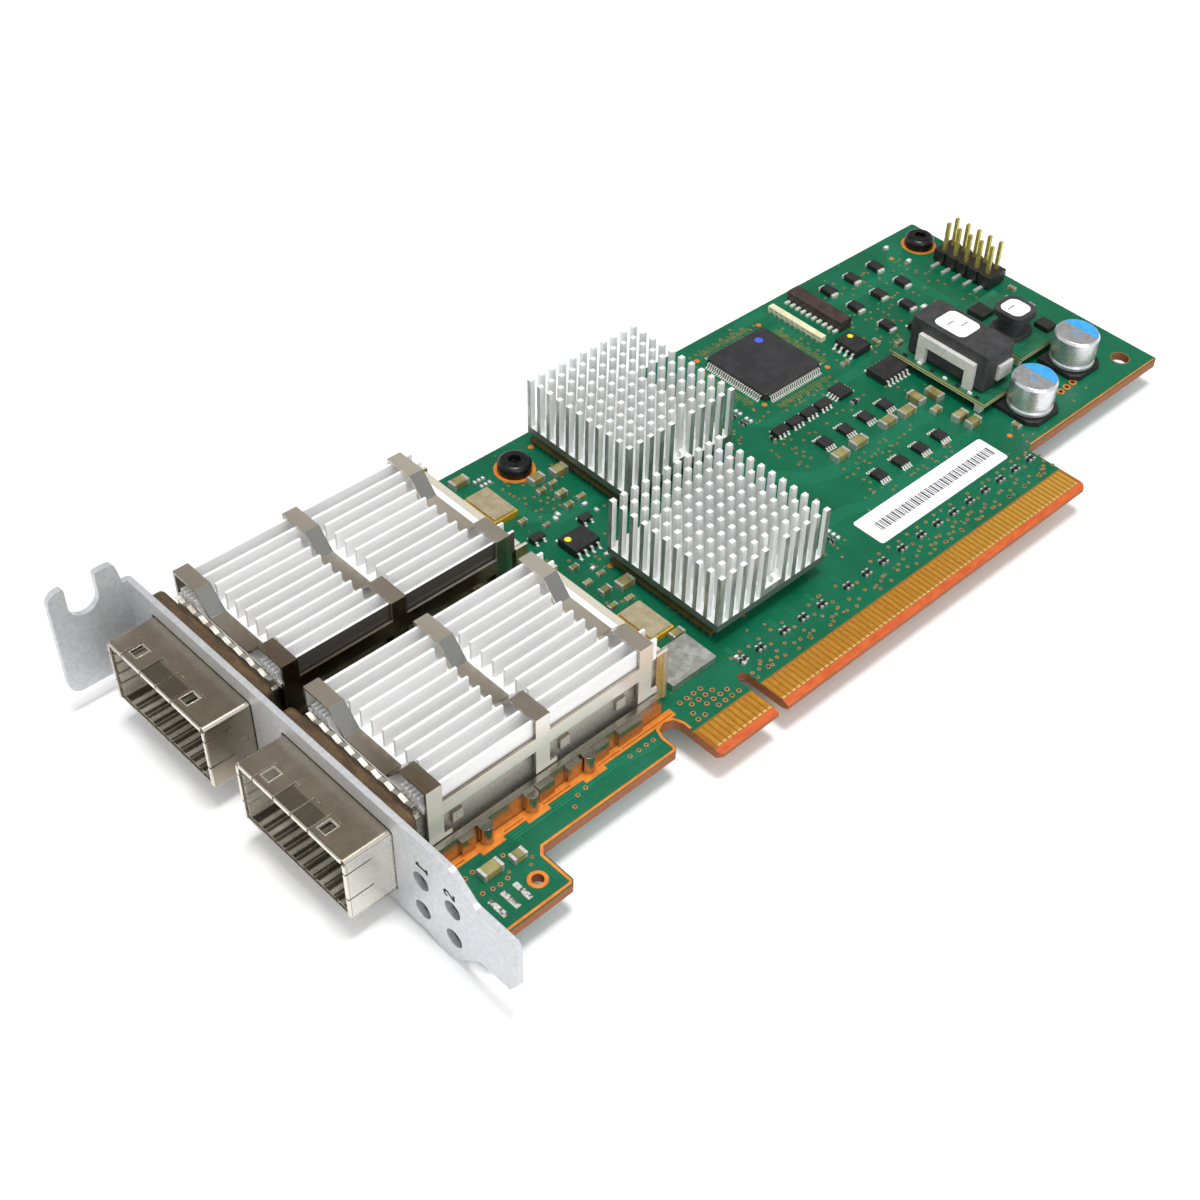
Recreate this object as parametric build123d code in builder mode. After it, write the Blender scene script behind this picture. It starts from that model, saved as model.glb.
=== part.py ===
from build123d import *
import math
import os

# Low-profile add-in card for a server: an edge-connector circuit board with a
# mounting bracket, two wide pluggable cable ports with riding heat sinks, two
# controllers under pin-fin heat sinks, a power module and small components.
#
# Millimetres. X runs along the card from the bracket to the far end, Y from the
# edge connector to the back edge, Z up out of the component side.
# Origin: the corner of the edge connector nearest the bracket, where its short
# end meets the bottom of the contacts, on the component side of the board.

# ---------------------------------------------------------------- dimensions
BOARD_T = 1.57           # board thickness
BOARD_H = 68.9           # bottom of the edge contacts to the back edge
BOARD_X0 = -42.9         # board edge behind the bracket
BOARD_X1 = 123.7         # far end of the board
MAIN_Y = 12.15           # lower edge beyond the edge connector
FOOT_Y = 4.45            # lower edge between the connector and the bracket
FOOT_X = -28.6           # where the deeper foot of the board starts
FOOT_Y2 = -2.5           # bottom of that foot
SEC1_L = 11.65           # short contact section
KEY_W = 1.90             # key notch
KEY_H = 8.75
EDGE_L = 85.20           # whole edge connector
PIN_W = 0.70             # contact width, on a 1.00 pitch
PIN_Y0, PIN_Y1 = 1.15, 5.15
BEVEL_Y, BEVEL_Z = 1.1, 0.42

SHEET = 0.9              # bracket sheet
BR_X = -44.8             # outer face of the bracket
BR_Z0, BR_Z1, BR_Z2 = -4.6, 12.2, 12.6
TAB_Y = 69.3             # outer face of the tab
TAB_X = -55.95
TAB_Z0, TAB_Z1 = -2.3, 16.1
SLOT_W, SLOT_X, SLOT_Z = 4.42, -51.2, 10.3
TONGUE_Z0, TONGUE_Z1, TONGUE_Y = -0.8, 9.4, -9.9
LAMP_R = 1.45
LAMP_HOLES = [(7.7, 4.9), (7.7, -0.8), (1.8, 4.9), (1.8, -0.8)]

PORT_Y = {1: 52.3, 2: 23.75}
CAGE_X0, CAGE_X1 = -51.6, 1.0     # front lip and rear wall of a cage
CAGE_HALF = 10.9
CAGE_Z = 9.6
NOSE_Z = -1.6
CAGE_T = 0.4
PAN_HALF = 13.1
PAN_Z = 3.6

SINK_HALF = 11.45
SINK_Z0, SINK_Z1, FIN_Z = 9.65, 10.4, 13.4
FIN_PITCH, FIN_T = 2.25, 0.4
STRAP_X = (-40.2, -22.7, -4.5)
STRAP_W = 2.4
STRAP_Z = 13.9
STRAP_T = 0.4
STRAP_HALF = 12.05

BGA = {"left": (35.9, 55.4), "right": (25.8, 26.3)}
BGA_W = 21.0
PINFIN_N = 11
PINFIN_PITCH = 2.20
PIN_X, PIN_Y = 0.9, 0.75
PINFIN_Z0, PINFIN_Z1, PINFIN_Z2 = 2.4, 3.65, 12.6

SCREWS = [(18.6, 63.3), (119.0, 63.4)]
PRESS_X = (-32.5, -24.9, -14.9)
PRESS_X_BACK = (-36.3, -28.7, -19.6)
FLAPS = ((-35.3, 2.2), (-22.2, 2.7), (-17.3, 2.4), (-12.4, 2.5), (-7.1, 4.4))

os.makedirs("parts", exist_ok=True)


def slab(x0, x1, y0, y1, z0, z1, mode=Mode.ADD):
    """A box between two corners, in the open builder."""
    with Locations(((x0 + x1) / 2, (y0 + y1) / 2, (z0 + z1) / 2)):
        Box(x1 - x0, y1 - y0, z1 - z0, mode=mode)


def ribbon(points, t):
    """Closed outline of a strip of thickness t to the left of a path."""
    out = []
    n = len(points)
    for i, (px, py) in enumerate(points):
        dirs = []
        if i > 0:
            dx, dy = px - points[i - 1][0], py - points[i - 1][1]
            d = math.hypot(dx, dy)
            dirs.append((dx / d, dy / d))
        if i < n - 1:
            dx, dy = points[i + 1][0] - px, points[i + 1][1] - py
            d = math.hypot(dx, dy)
            dirs.append((dx / d, dy / d))
        if len(dirs) == 1:
            nx, ny = -dirs[0][1], dirs[0][0]
            out.append((px + nx * t, py + ny * t))
        else:
            n1 = (-dirs[0][1], dirs[0][0])
            n2 = (-dirs[1][1], dirs[1][0])
            k = t / (1 + n1[0] * n2[0] + n1[1] * n2[1])
            out.append((px + (n1[0] + n2[0]) * k, py + (n1[1] + n2[1]) * k))
    return list(points) + out[::-1]


def near(items, x, y, r=0.2):
    return [v for v in items if math.hypot(v.X - x, v.Y - y) < r]


def save(part, label):
    part.label = label
    export_step(part, f"parts/{label}.step")


# ------------------------------------------------------------- circuit board
# Outline seen from above: the tall edge-connector tongue with its key notch,
# the rounded notch between it and the foot that runs back to the bracket.
with BuildPart() as circuit_board:
    with BuildSketch(Plane.XY.offset(-BOARD_T)) as board_outline:
        with BuildLine():
            Polyline(
                (BOARD_X0, FOOT_Y2), (FOOT_X, FOOT_Y2), (FOOT_X, FOOT_Y),
                (-3.55, FOOT_Y), (-3.55, 9.1), (0, 9.1), (0, 0),
                (EDGE_L, 0), (EDGE_L, MAIN_Y), (BOARD_X1, MAIN_Y),
                (BOARD_X1, BOARD_H), (BOARD_X0, BOARD_H), close=True,
            )
        make_face()
        vs = board_outline.vertices()
        fillet(near(vs, -3.55, 9.1) + near(vs, 0, 9.1), 1.7)
        vs = board_outline.vertices()
        fillet(near(vs, FOOT_X, FOOT_Y) + near(vs, EDGE_L, MAIN_Y), 1.0)
        vs = board_outline.vertices()
        chamfer(near(vs, FOOT_X, FOOT_Y2) + near(vs, -3.55, FOOT_Y)
                + near(vs, 0, 0) + near(vs, EDGE_L, 0), 0.6)
        vs = board_outline.vertices()
        fillet(near(vs, BOARD_X1, BOARD_H) + near(vs, BOARD_X1, MAIN_Y), 0.5)
        with Locations((SEC1_L + KEY_W / 2, KEY_H / 2 - 1)):
            Rectangle(KEY_W, KEY_H - KEY_W + 2, mode=Mode.SUBTRACT)
        with Locations((SEC1_L + KEY_W / 2, KEY_H - KEY_W / 2)):
            Circle(KEY_W / 2, mode=Mode.SUBTRACT)
    extrude(amount=BOARD_T)
    # 20 degree bevel on both faces of the contact edge
    with BuildSketch(Plane.YZ.offset(-0.5)):
        with BuildLine():
            Polyline((-0.3, 0.3), (-0.3, -BEVEL_Z), (0, -BEVEL_Z),
                     (BEVEL_Y, 0), (BEVEL_Y, 0.3), close=True)
        make_face()
        with BuildLine():
            Polyline((-0.3, -BOARD_T - 0.3), (-0.3, -BOARD_T + BEVEL_Z),
                     (0, -BOARD_T + BEVEL_Z), (BEVEL_Y, -BOARD_T),
                     (BEVEL_Y, -BOARD_T - 0.3), close=True)
        make_face()
    extrude(amount=EDGE_L + 1.0, mode=Mode.SUBTRACT)
    # holes: fixing holes, a tooling hole, a small plated hole and three vias
    with Locations(Plane.XY):
        with Locations(*[(x, y, 0) for x, y in SCREWS]):
            Hole(1.6)
        with Locations((118.7, 16.65, 0)):
            Hole(1.6)
        with Locations((-31.9, 1.1, 0)):
            Hole(0.85)
        with Locations((102.4, 17.8, 0), (104.3, 17.9, 0), (106.2, 18.0, 0)):
            Hole(0.4)
        for port, yc in PORT_Y.items():
            with Locations(*[(x, yc - PAN_HALF - 0.45, 0) for x in PRESS_X]):
                Hole(0.55)
            with Locations(*[(x, yc + PAN_HALF + 0.45, 0) for x in PRESS_X_BACK]):
                Hole(0.55)
        with Locations((-39.4, 38.05, 0), (-39.4, 67.25, 0)):
            Hole(0.85)
save(circuit_board.part, "circuit_board")

# Plated contacts on both faces of the edge connector, 82 to a side.
contact_x = [1.1 + i for i in range(11)] + [14.1 + i for i in range(71)]
with BuildPart() as edge_contacts:
    with Locations(*[(x, (PIN_Y0 + PIN_Y1) / 2, 0.02) for x in contact_x]):
        Box(PIN_W, PIN_Y1 - PIN_Y0, 0.04)
    with Locations(*[(x, (PIN_Y0 + PIN_Y1) / 2, -BOARD_T - 0.02) for x in contact_x]):
        Box(PIN_W, PIN_Y1 - PIN_Y0, 0.04)
save(edge_contacts.part, "edge_contacts")

# ------------------------------------------------------------------ bracket
# One folded sheet: the plate with two port windows and four lamp holes, a
# narrow tongue at the foot, a slotted tab at the head and two ears under the
# board.
with BuildPart() as bracket:
    with BuildSketch(Plane.YZ.offset(BR_X)) as plate:
        with BuildLine():
            Polyline(
                (TAB_Y, BR_Z1), (1.7, BR_Z2),
                (-2.2, TONGUE_Z1), (TONGUE_Y + 0.7, TONGUE_Z1),
                (TONGUE_Y, TONGUE_Z1 - 0.8), (TONGUE_Y, 1.6),
                (TONGUE_Y + 1.5, TONGUE_Z0), (-3.0, TONGUE_Z0), (-1.2, -2.4),
                (1.6, -5.3), (4.7, -5.6), (6.9, BR_Z0), (TAB_Y, BR_Z0), close=True,
            )
        make_face()
        vs = plate.vertices()
        fillet(near(vs, 1.7, BR_Z2) + near(vs, -2.2, TONGUE_Z1), 1.6)
        vs = plate.vertices()
        fillet(near(vs, 1.6, -5.3) + near(vs, -3.0, TONGUE_Z0), 1.2)
        for yc in PORT_Y.values():
            with Locations((yc, (NOSE_Z + CAGE_Z) / 2)):
                RectangleRounded(2 * CAGE_HALF + 0.4, CAGE_Z - NOSE_Z + 0.4, 0.5,
                                 mode=Mode.SUBTRACT)
        with Locations(*LAMP_HOLES):
            Circle(LAMP_R, mode=Mode.SUBTRACT)
    extrude(amount=SHEET)
    # head tab, folded out away from the card, with its open fixing slot
    with BuildSketch(Plane.XZ.offset(-TAB_Y)) as tab:
        with BuildLine():
            Polyline(
                (BR_X + SHEET, TAB_Z0 + 0.9), (BR_X + SHEET, BR_Z1),
                (BR_X - 0.6, BR_Z1), (BR_X - 1.3, TAB_Z1),
                (TAB_X, TAB_Z1), (TAB_X, TAB_Z0), (BR_X - 0.6, TAB_Z0),
                close=True,
            )
        make_face()
        vs = tab.vertices()
        fillet(near(vs, BR_X - 1.3, TAB_Z1), 1.0)
        vs = tab.vertices()
        fillet(near(vs, TAB_X, TAB_Z1) + near(vs, TAB_X, TAB_Z0), 1.9)
        with Locations((SLOT_X, SLOT_Z + SLOT_W / 2 + 5)):
            Rectangle(SLOT_W, 10, mode=Mode.SUBTRACT)
        with Locations((SLOT_X, SLOT_Z + SLOT_W / 2)):
            Circle(SLOT_W / 2, mode=Mode.SUBTRACT)
        vs = tab.vertices()
        fillet([v for v in vs if abs(v.Y - TAB_Z1) < 0.05
                and abs(abs(v.X - SLOT_X) - SLOT_W / 2) < 0.1], 0.45)
    extrude(amount=SHEET)
    fold = [e for e in bracket.edges().filter_by(Axis.Z)
            if abs(e.center().X - (BR_X + SHEET)) < 0.01
            and abs(e.center().Y - TAB_Y) < 0.01]
    fillet(fold, 0.85)
    # two ears folded back under the board and riveted to it
    for y0, y1 in ((35.5, 40.6), (64.2, 68.6)):
        slab(BR_X + SHEET - 0.05, -37.4, y0, y1, -BOARD_T - SHEET, -BOARD_T)
    with Locations((-39.4, 38.05, -BOARD_T), (-39.4, 67.25, -BOARD_T)):
        Hole(0.85, depth=2.0)
save(bracket.part, "bracket")

with BuildPart() as bracket_rivets:
    for x, y in ((-39.4, 38.05), (-39.4, 67.25)):
        with Locations((x, y, (0.35 - BOARD_T - SHEET) / 2)):
            Cylinder(0.8, BOARD_T + SHEET + 0.35)
        with Locations((x, y, 0.2)):
            Cylinder(1.1, 0.4)
        with Locations((x, y, -BOARD_T - SHEET - 0.3)):
            Cylinder(1.4, 0.6)
save(bracket_rivets.part, "bracket_rivets")

# Small lamps on the board behind the lamp holes.
with BuildPart() as indicator_lamps:
    for y in (7.7, 1.8):
        slab(-42.6, -40.8, y - 0.9, y + 0.9, 0, 0.6)
        with Locations((-41.7, y, 1.05)):
            Cylinder(0.6, 0.9)
save(indicator_lamps.part, "indicator_lamps")


# -------------------------------------------------------------------- ports
def make_port(n, yc):
    """All the pieces of one cable port, centred on yc."""
    y_in = CAGE_HALF - CAGE_T
    # upper shell: roof, side walls and rear wall; its nose stands out in front
    with BuildPart() as cover:
        slab(CAGE_X0, CAGE_X1, yc - CAGE_HALF, yc + CAGE_HALF, CAGE_T, CAGE_Z)
        slab(CAGE_X0, -43.5, yc - CAGE_HALF, yc + CAGE_HALF,
             NOSE_Z + CAGE_T, CAGE_T)
        top_edges = [e for e in cover.edges().filter_by(Axis.X)
                     if e.center().Z > CAGE_Z - 0.01]
        fillet(top_edges, 0.7)
        slab(CAGE_X0 - 1, CAGE_X1 - CAGE_T, yc - y_in, yc + y_in,
             NOSE_Z, CAGE_Z - CAGE_T, mode=Mode.SUBTRACT)
        # opening for the heat sink foot
        slab(-38.5, -15.5, yc - 8.5, yc + 8.5, 8, 11, mode=Mode.SUBTRACT)
        # two latch windows in the nose roof
        for dy in (-5.1, 6.2):
            slab(-50.7, -48.8, yc + dy - 0.75, yc + dy + 0.75, 8, 11,
                 mode=Mode.SUBTRACT)
        # slits that part the nose into spring fingers; each roof slit turns
        # the corner at its inner end
        for dy, back in ((7.3, 2.4), (3.1, 1.7), (-0.4, 1.7), (-3.8, 2.7)):
            slab(CAGE_X0 - 1, -48.2, yc + dy - 0.1, yc + dy + 0.1, 8, 11,
                 mode=Mode.SUBTRACT)
            slab(-48.4, -48.2, yc + dy - back, yc + dy, 8, 11,
                 mode=Mode.SUBTRACT)
        for z in (2.4, 7.3):
            slab(CAGE_X0 - 1, -48.0, yc - 12, yc + 12, z - 0.1, z + 0.1,
                 mode=Mode.SUBTRACT)
        # outward lances beside each clip leg
        for x in (-36.0, -18.0, -8.0):
            for s in (-1, 1):
                y0, y1 = sorted((yc + s * (CAGE_HALF - 0.01), yc + s * 11.5))
                slab(x, x + 1.7, y0, y1, 4.5, 6.3)
        # rear corner flaps
        for s in (-1, 1):
            y0, y1 = sorted((yc + s * (CAGE_HALF - 0.01), yc + s * 11.35))
            slab(-0.5, 1.7, y0, y1, CAGE_T, CAGE_Z)
    save(cover.part, f"port_{n}_cage_cover")

    # lower pan: floor, outer channel walls folded in at the top, the floor of
    # the nose, and rolled press-fit posts through the board
    with BuildPart() as base:
        slab(-43.5, CAGE_X1, yc - CAGE_HALF, yc + CAGE_HALF, 0, CAGE_T)
        slab(-41.5, -0.9, yc - PAN_HALF, yc + PAN_HALF, 0, CAGE_T)
        slab(-43.5, -43.1, yc - CAGE_HALF, yc + CAGE_HALF, NOSE_Z, CAGE_T)
        slab(CAGE_X0, -43.1, yc - CAGE_HALF, yc + CAGE_HALF,
             NOSE_Z, NOSE_Z + CAGE_T)
        for dy in (-7.9, -3.4, 0.0, 3.4, 7.9):
            slab(CAGE_X0 - 1, -48.0, yc + dy - 0.12, yc + dy + 0.12,
                 NOSE_Z - 1, NOSE_Z + 1, mode=Mode.SUBTRACT)
        for s in (-1, 1):
            y0, y1 = sorted((yc + s * PAN_HALF, yc + s * (PAN_HALF - CAGE_T)))
            slab(-41.5, -0.9, y0, y1, 0, PAN_Z)
            y0, y1 = sorted((yc + s * PAN_HALF, yc + s * 12.2))
            slab(-41.5, -0.9, y0, y1, PAN_Z - CAGE_T, PAN_Z)
        for s, xs in ((-1, PRESS_X), (1, PRESS_X_BACK)):
            ya = yc + s * (PAN_HALF + 0.45)
            for x in xs:
                with Locations((x, ya, 1.55)):
                    Cylinder(0.95, 3.1)
                with Locations((x, ya, -1.1)):
                    Cylinder(0.5, 2.6)
        # stiffening flaps standing a little proud of the near channel wall
        for x, w in FLAPS:
            slab(x - w / 2, x + w / 2, yc - PAN_HALF - 0.5, yc - PAN_HALF + 0.01,
                 0.05, 2.7)
    save(base.part, f"port_{n}_cage_base")

    # thin spring liner just inside the nose, slit into fingers
    with BuildPart() as fingers:
        slab(-51.3, -44.6, yc - y_in, yc + y_in, NOSE_Z + CAGE_T, CAGE_Z - CAGE_T)
        slab(-52, -44, yc - y_in + 0.2, yc + y_in - 0.2,
             NOSE_Z + CAGE_T + 0.2, CAGE_Z - CAGE_T - 0.2, mode=Mode.SUBTRACT)
        for dy in (-7.2, -5.1, -3.0, -0.9, 0.9, 3.0, 5.1, 7.2):
            slab(-52, -46.0, yc + dy - 0.2, yc + dy + 0.2, NOSE_Z - 1, CAGE_Z + 1,
                 mode=Mode.SUBTRACT)
        for z in (1.4, 3.3, 5.2, 7.0):
            slab(-52, -46.0, yc - 12, yc + 12, z - 0.2, z + 0.2,
                 mode=Mode.SUBTRACT)
        for dy in (-5.1, 6.2):
            slab(-50.9, -48.6, yc + dy - 0.95, yc + dy + 0.95, 8, 11,
                 mode=Mode.SUBTRACT)
    save(fingers.part, f"port_{n}_spring_fingers")

    # conductive foam gasket around the cage, pressed on the bracket
    with BuildPart() as gasket:
        slab(BR_X + SHEET, -42.0, yc - 12.6, yc + 12.6, 9.8, 11.9)
        for s in (-1, 1):
            y0, y1 = sorted((yc + s * 12.6, yc + s * 11.1))
            slab(BR_X + SHEET, -42.0, y0, y1, 0.1, 9.8)
        end_edges = [e for e in gasket.edges().filter_by(Axis.X)
                     if e.center().Z > 11.85]
        fillet(end_edges, 1.3)
        long_edges = [e for e in gasket.edges().filter_by(Axis.Y)
                      if e.center().Z > 11.85 and e.center().X > -42.1]
        fillet(long_edges, 0.6)
    save(gasket.part, f"port_{n}_gasket")

    # wavy contact strip standing on the roof between gasket and heat sink
    wave = []
    count = 33
    for i in range(count):
        u = -10.4 + 20.8 * i / (count - 1)
        wave.append((yc + u, 10.85 + 0.18 * math.cos(i * math.pi / 2)))
    with BuildPart() as strip:
        with BuildSketch(Plane.YZ.offset(-41.35)):
            with BuildLine():
                Polyline(*ribbon(wave, -0.15), close=True)
            make_face()
        extrude(amount=0.7)
        slab(-41.1, -40.8, yc - 10.4, yc + 10.4, CAGE_Z, 10.5)
    save(strip.part, f"port_{n}_contact_strip")

    # heat sink: foot through the roof, plate and eleven fins; the seven inner
    # fins are cut away where the clip dips down to the plate
    with BuildPart() as sink:
        slab(-40.3, -0.8, yc - SINK_HALF, yc + SINK_HALF, SINK_Z0, SINK_Z1)
        slab(-38.0, -16.0, yc - 8.0, yc + 8.0, 8.0, SINK_Z0)
        for i in range(-5, 6):
            y0, y1 = yc + i * FIN_PITCH - FIN_T / 2, yc + i * FIN_PITCH + FIN_T / 2
            if abs(i) >= 4:
                slab(-38.3, -0.8, y0, y1, SINK_Z1 - 0.01, FIN_Z)
            else:
                slab(-37.2, -23.6, y0, y1, SINK_Z1 - 0.01, FIN_Z)
                slab(-19.4, -5.4, y0, y1, SINK_Z1 - 0.01, FIN_Z)
        # low ribs in front, under the clip's corners
        for s in (-1, 1):
            for k in range(5):
                y = yc + s * (7.4 + 0.75 * k)
                slab(-40.3, -38.5, y - 0.18, y + 0.18, SINK_Z1 - 0.01, 11.8)
    save(sink.part, f"port_{n}_heat_sink")

    # spring clip: three straps over the heat sink joined by a band each side
    path = [
        (yc - STRAP_HALF, PAN_Z + 0.1), (yc - STRAP_HALF, STRAP_Z),
        (yc - 6.9, STRAP_Z), (yc - 4.1, SINK_Z1 + STRAP_T),
        (yc + 4.1, SINK_Z1 + STRAP_T), (yc + 6.9, STRAP_Z),
        (yc + STRAP_HALF, STRAP_Z), (yc + STRAP_HALF, PAN_Z + 0.1),
    ]
    with BuildPart() as clip:
        for x in STRAP_X:
            with BuildSketch(Plane.YZ.offset(x)):
                with BuildLine():
                    Polyline(*ribbon(path, -STRAP_T), close=True)
                make_face()
            extrude(amount=STRAP_W)
        for s in (-1, 1):
            y0, y1 = sorted((yc + s * STRAP_HALF, yc + s * (STRAP_HALF - STRAP_T)))
            slab(STRAP_X[0], STRAP_X[2] + STRAP_W, y0, y1, 8.2, 10.6)
            for x in STRAP_X:
                slab(x, x + 3.6, y0, y1, PAN_Z + 0.1, PAN_Z + 1.0)
    save(clip.part, f"port_{n}_heat_sink_clip")

    # receptacle inside the cage, with two card slots
    with BuildPart() as receptacle:
        slab(-14.0, 0.4, yc - 9.8, yc + 9.8, CAGE_T, 8.8)
        for z in (2.9, 6.3):
            slab(-15, -5.5, yc - 8.6, yc + 8.6, z - 0.6, z + 0.6,
                 mode=Mode.SUBTRACT)
        front = [e for e in receptacle.edges() if abs(e.center().X + 14.0) < 0.01
                 and abs(e.center().Z - 8.8) < 0.05]
        chamfer(front, 0.5)
    save(receptacle.part, f"port_{n}_receptacle")

    with BuildPart() as contacts:
        for z in (2.9, 6.3):
            for dz in (-0.525, 0.525):
                with Locations(*[(-9.7, yc - 8.0 + 0.8 * i, z + dz)
                                 for i in range(21)]):
                    Box(7.4, 0.4, 0.15)
    save(contacts.part, f"port_{n}_contacts")


for number, centre in PORT_Y.items():
    make_port(number, centre)

# ----------------------------------------------- controllers and heat sinks
with BuildPart() as controller_substrates:
    for x, y in BGA.values():
        slab(x - BGA_W / 2 - 0.6, x + BGA_W / 2 - 0.6,
             y - BGA_W / 2 + 0.7, y + BGA_W / 2 + 0.7, 0.5, 1.2)
save(controller_substrates.part, "controller_substrates")

with BuildPart() as controller_lids:
    for x, y in BGA.values():
        slab(x - 9.5, x + 9.5, y - 9.5, y + 9.5, 1.2, 2.1)
    fillet(controller_lids.edges().filter_by(Axis.Z), 0.8)
save(controller_lids.part, "controller_lids")

# Only the two outer rows of balls, which can be seen from the side.
with BuildPart() as controller_solder_balls:
    for x, y in BGA.values():
        spots = []
        for i in range(17):
            for j in range(17):
                if i in (0, 1, 15, 16) or j in (0, 1, 15, 16):
                    spots.append((x - 0.6 + (i - 8) * 1.27, y + 0.7 + (j - 8) * 1.27, 0.25))
        with Locations(*spots):
            Cylinder(0.3, 0.5)
save(controller_solder_balls.part, "controller_solder_balls")

with BuildPart() as thermal_pads:
    for x, y in BGA.values():
        slab(x - 9.0, x + 9.0, y - 9.0, y + 9.0, 2.1, PINFIN_Z0)
save(thermal_pads.part, "thermal_pads")


def make_pin_sink(side, cx, cy):
    """A plate with an 11 by 11 field of pins, flush with its sides. The middle
    pin of the front row is left out, and a low web closes the gap."""
    half_x = 5 * PINFIN_PITCH + PIN_X / 2
    half_y = 5 * PINFIN_PITCH + PIN_Y / 2
    spots = []
    for i in range(PINFIN_N):
        for j in range(PINFIN_N):
            if (i, j) != (5, 0):
                spots.append((cx + (i - 5) * PINFIN_PITCH, cy + (j - 5) * PINFIN_PITCH,
                              (PINFIN_Z1 + PINFIN_Z2) / 2 - 0.01))
    with BuildPart() as sink:
        slab(cx - half_x, cx + half_x, cy - half_y, cy + half_y, PINFIN_Z0, PINFIN_Z1)
        with Locations(*spots):
            Box(PIN_X, PIN_Y, PINFIN_Z2 - PINFIN_Z1 + 0.02)
        slab(cx - 2.0, cx + 2.0, cy - half_y, cy - half_y + 1.7,
             PINFIN_Z1 - 0.01, PINFIN_Z1 + 1.2)
        with Locations((cx, cy - half_y + 1.35, PINFIN_Z1 + 1)):
            Cylinder(1.05, 2, mode=Mode.SUBTRACT)
    save(sink.part, f"pin_heat_sink_{side}")


for side, (bx, by) in BGA.items():
    make_pin_sink(side, bx, by)

# ------------------------------------------------------------ chips and leads
# One gull-wing lead: shoulder at the body, step down, foot on the board.
def lead_profile(reach, height, t):
    return ribbon([(0, height), (reach * 0.35, height), (reach * 0.55, t),
                   (reach, t)], -t)


def gull_lead(reach, height, t, width):
    with BuildPart() as one:
        with BuildSketch(Plane.XZ.offset(-width / 2)):
            with BuildLine():
                Polyline(*lead_profile(reach, height, t), close=True)
            make_face()
        extrude(amount=width)
    return one.part


QFP_X, QFP_Y = 68.3, 56.2
with BuildPart() as quad_flat_chip_body:
    slab(QFP_X - 7, QFP_X + 7, QFP_Y - 7, QFP_Y + 7, 0.15, 1.45)
    corner = quad_flat_chip_body.edges().filter_by(Axis.Z)
    chamfer(corner, 0.5)
    chamfer(quad_flat_chip_body.faces().sort_by(Axis.Z)[-1].edges(), 0.15)
save(quad_flat_chip_body.part, "quad_flat_chip_body")

qfp_lead = gull_lead(1.1, 0.85, 0.15, 0.24)
with BuildPart() as quad_flat_chip_leads:
    for turn in range(4):
        a = math.radians(90 * turn)
        spots = []
        for i in range(25):
            u = (i - 12) * 0.5
            spots.append(Location((QFP_X + 7 * math.cos(a) - u * math.sin(a),
                                   QFP_Y + 7 * math.sin(a) + u * math.cos(a), 0),
                                  (0, 0, 90 * turn)))
        with Locations(*spots):
            add(qfp_lead)
save(quad_flat_chip_leads.part, "quad_flat_chip_leads")

# rows: centre x, centre y, size x, size y, height, leads per side, pitch,
# lead side ("x" or "y"), lead reach, lead width
MEMORY = [
    (84.1, 49.7, 3.9, 4.9, 1.5, 4, 1.27, "x", 1.05, 0.42),
    (14.1, 43.6, 4.9, 3.9, 1.5, 4, 1.27, "y", 1.05, 0.42),
    (83.3, 41.0, 6.6, 4.0, 1.4, 6, 1.0, "y", 1.05, 0.4),
]
LOGIC = [
    (57.0, 41.9, 2.9, 1.6, 1.0, 3, 0.95, "y", 0.6, 0.4),
    (60.6, 41.9, 2.9, 1.6, 1.0, 3, 0.95, "y", 0.6, 0.4),
    (64.1, 42.0, 2.9, 1.6, 1.0, 3, 0.95, "y", 0.6, 0.4),
    (67.6, 42.0, 2.9, 1.6, 1.0, 3, 0.95, "y", 0.6, 0.4),
    (72.7, 42.5, 3.0, 3.0, 0.9, 4, 0.65, "x", 0.9, 0.3),
    (10.1, 48.5, 2.4, 1.3, 1.0, 2, 1.5, "y", 0.6, 0.4),
    (18.5, 47.0, 2.0, 1.3, 1.0, 2, 1.3, "y", 0.6, 0.4),
    (98.5, 45.3, 4.9, 3.4, 1.4, 4, 1.27, "y", 0.9, 0.42),
]
NETWORKS = [
    (60.4, 35.1, 2.1, 2.2, 0.8, 4, 0.56, "y", 0.85, 0.32),
    (65.6, 35.1, 2.1, 2.2, 0.8, 4, 0.56, "y", 0.85, 0.32),
    (70.7, 35.1, 2.1, 2.2, 0.8, 4, 0.56, "y", 0.85, 0.32),
    (75.7, 35.1, 2.1, 2.2, 0.8, 4, 0.56, "y", 0.85, 0.32),
    (60.9, 23.8, 2.1, 2.2, 0.8, 4, 0.56, "y", 0.85, 0.32),
    (66.2, 23.8, 2.1, 2.2, 0.8, 4, 0.56, "y", 0.85, 0.32),
    (71.3, 23.8, 2.1, 2.2, 0.8, 4, 0.56, "y", 0.85, 0.32),
    (76.3, 23.8, 2.1, 2.2, 0.8, 4, 0.56, "y", 0.85, 0.32),
]


def chip_bodies(rows, label):
    with BuildPart() as bodies:
        for x, y, sx, sy, h, n, pitch, side, reach, w in rows:
            slab(x - sx / 2, x + sx / 2, y - sy / 2, y + sy / 2, 0.1, h)
    save(bodies.part, label)


def lead_spots(row):
    x, y, sx, sy, h, n, pitch, side, reach, w = row
    spots = []
    for s in (-1, 1):
        for i in range(n):
            u = (i - (n - 1) / 2) * pitch
            if side == "y":
                spots.append(Location((x + u, y + s * sy / 2, 0), (0, 0, 90 * s)))
            else:
                spots.append(Location((x + s * sx / 2, y + u, 0),
                                      (0, 0, 0 if s > 0 else 180)))
    return spots


chip_bodies(MEMORY, "memory_chip_bodies")
chip_bodies(LOGIC, "logic_chip_bodies")
chip_bodies(NETWORKS, "resistor_network_bodies")

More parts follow.
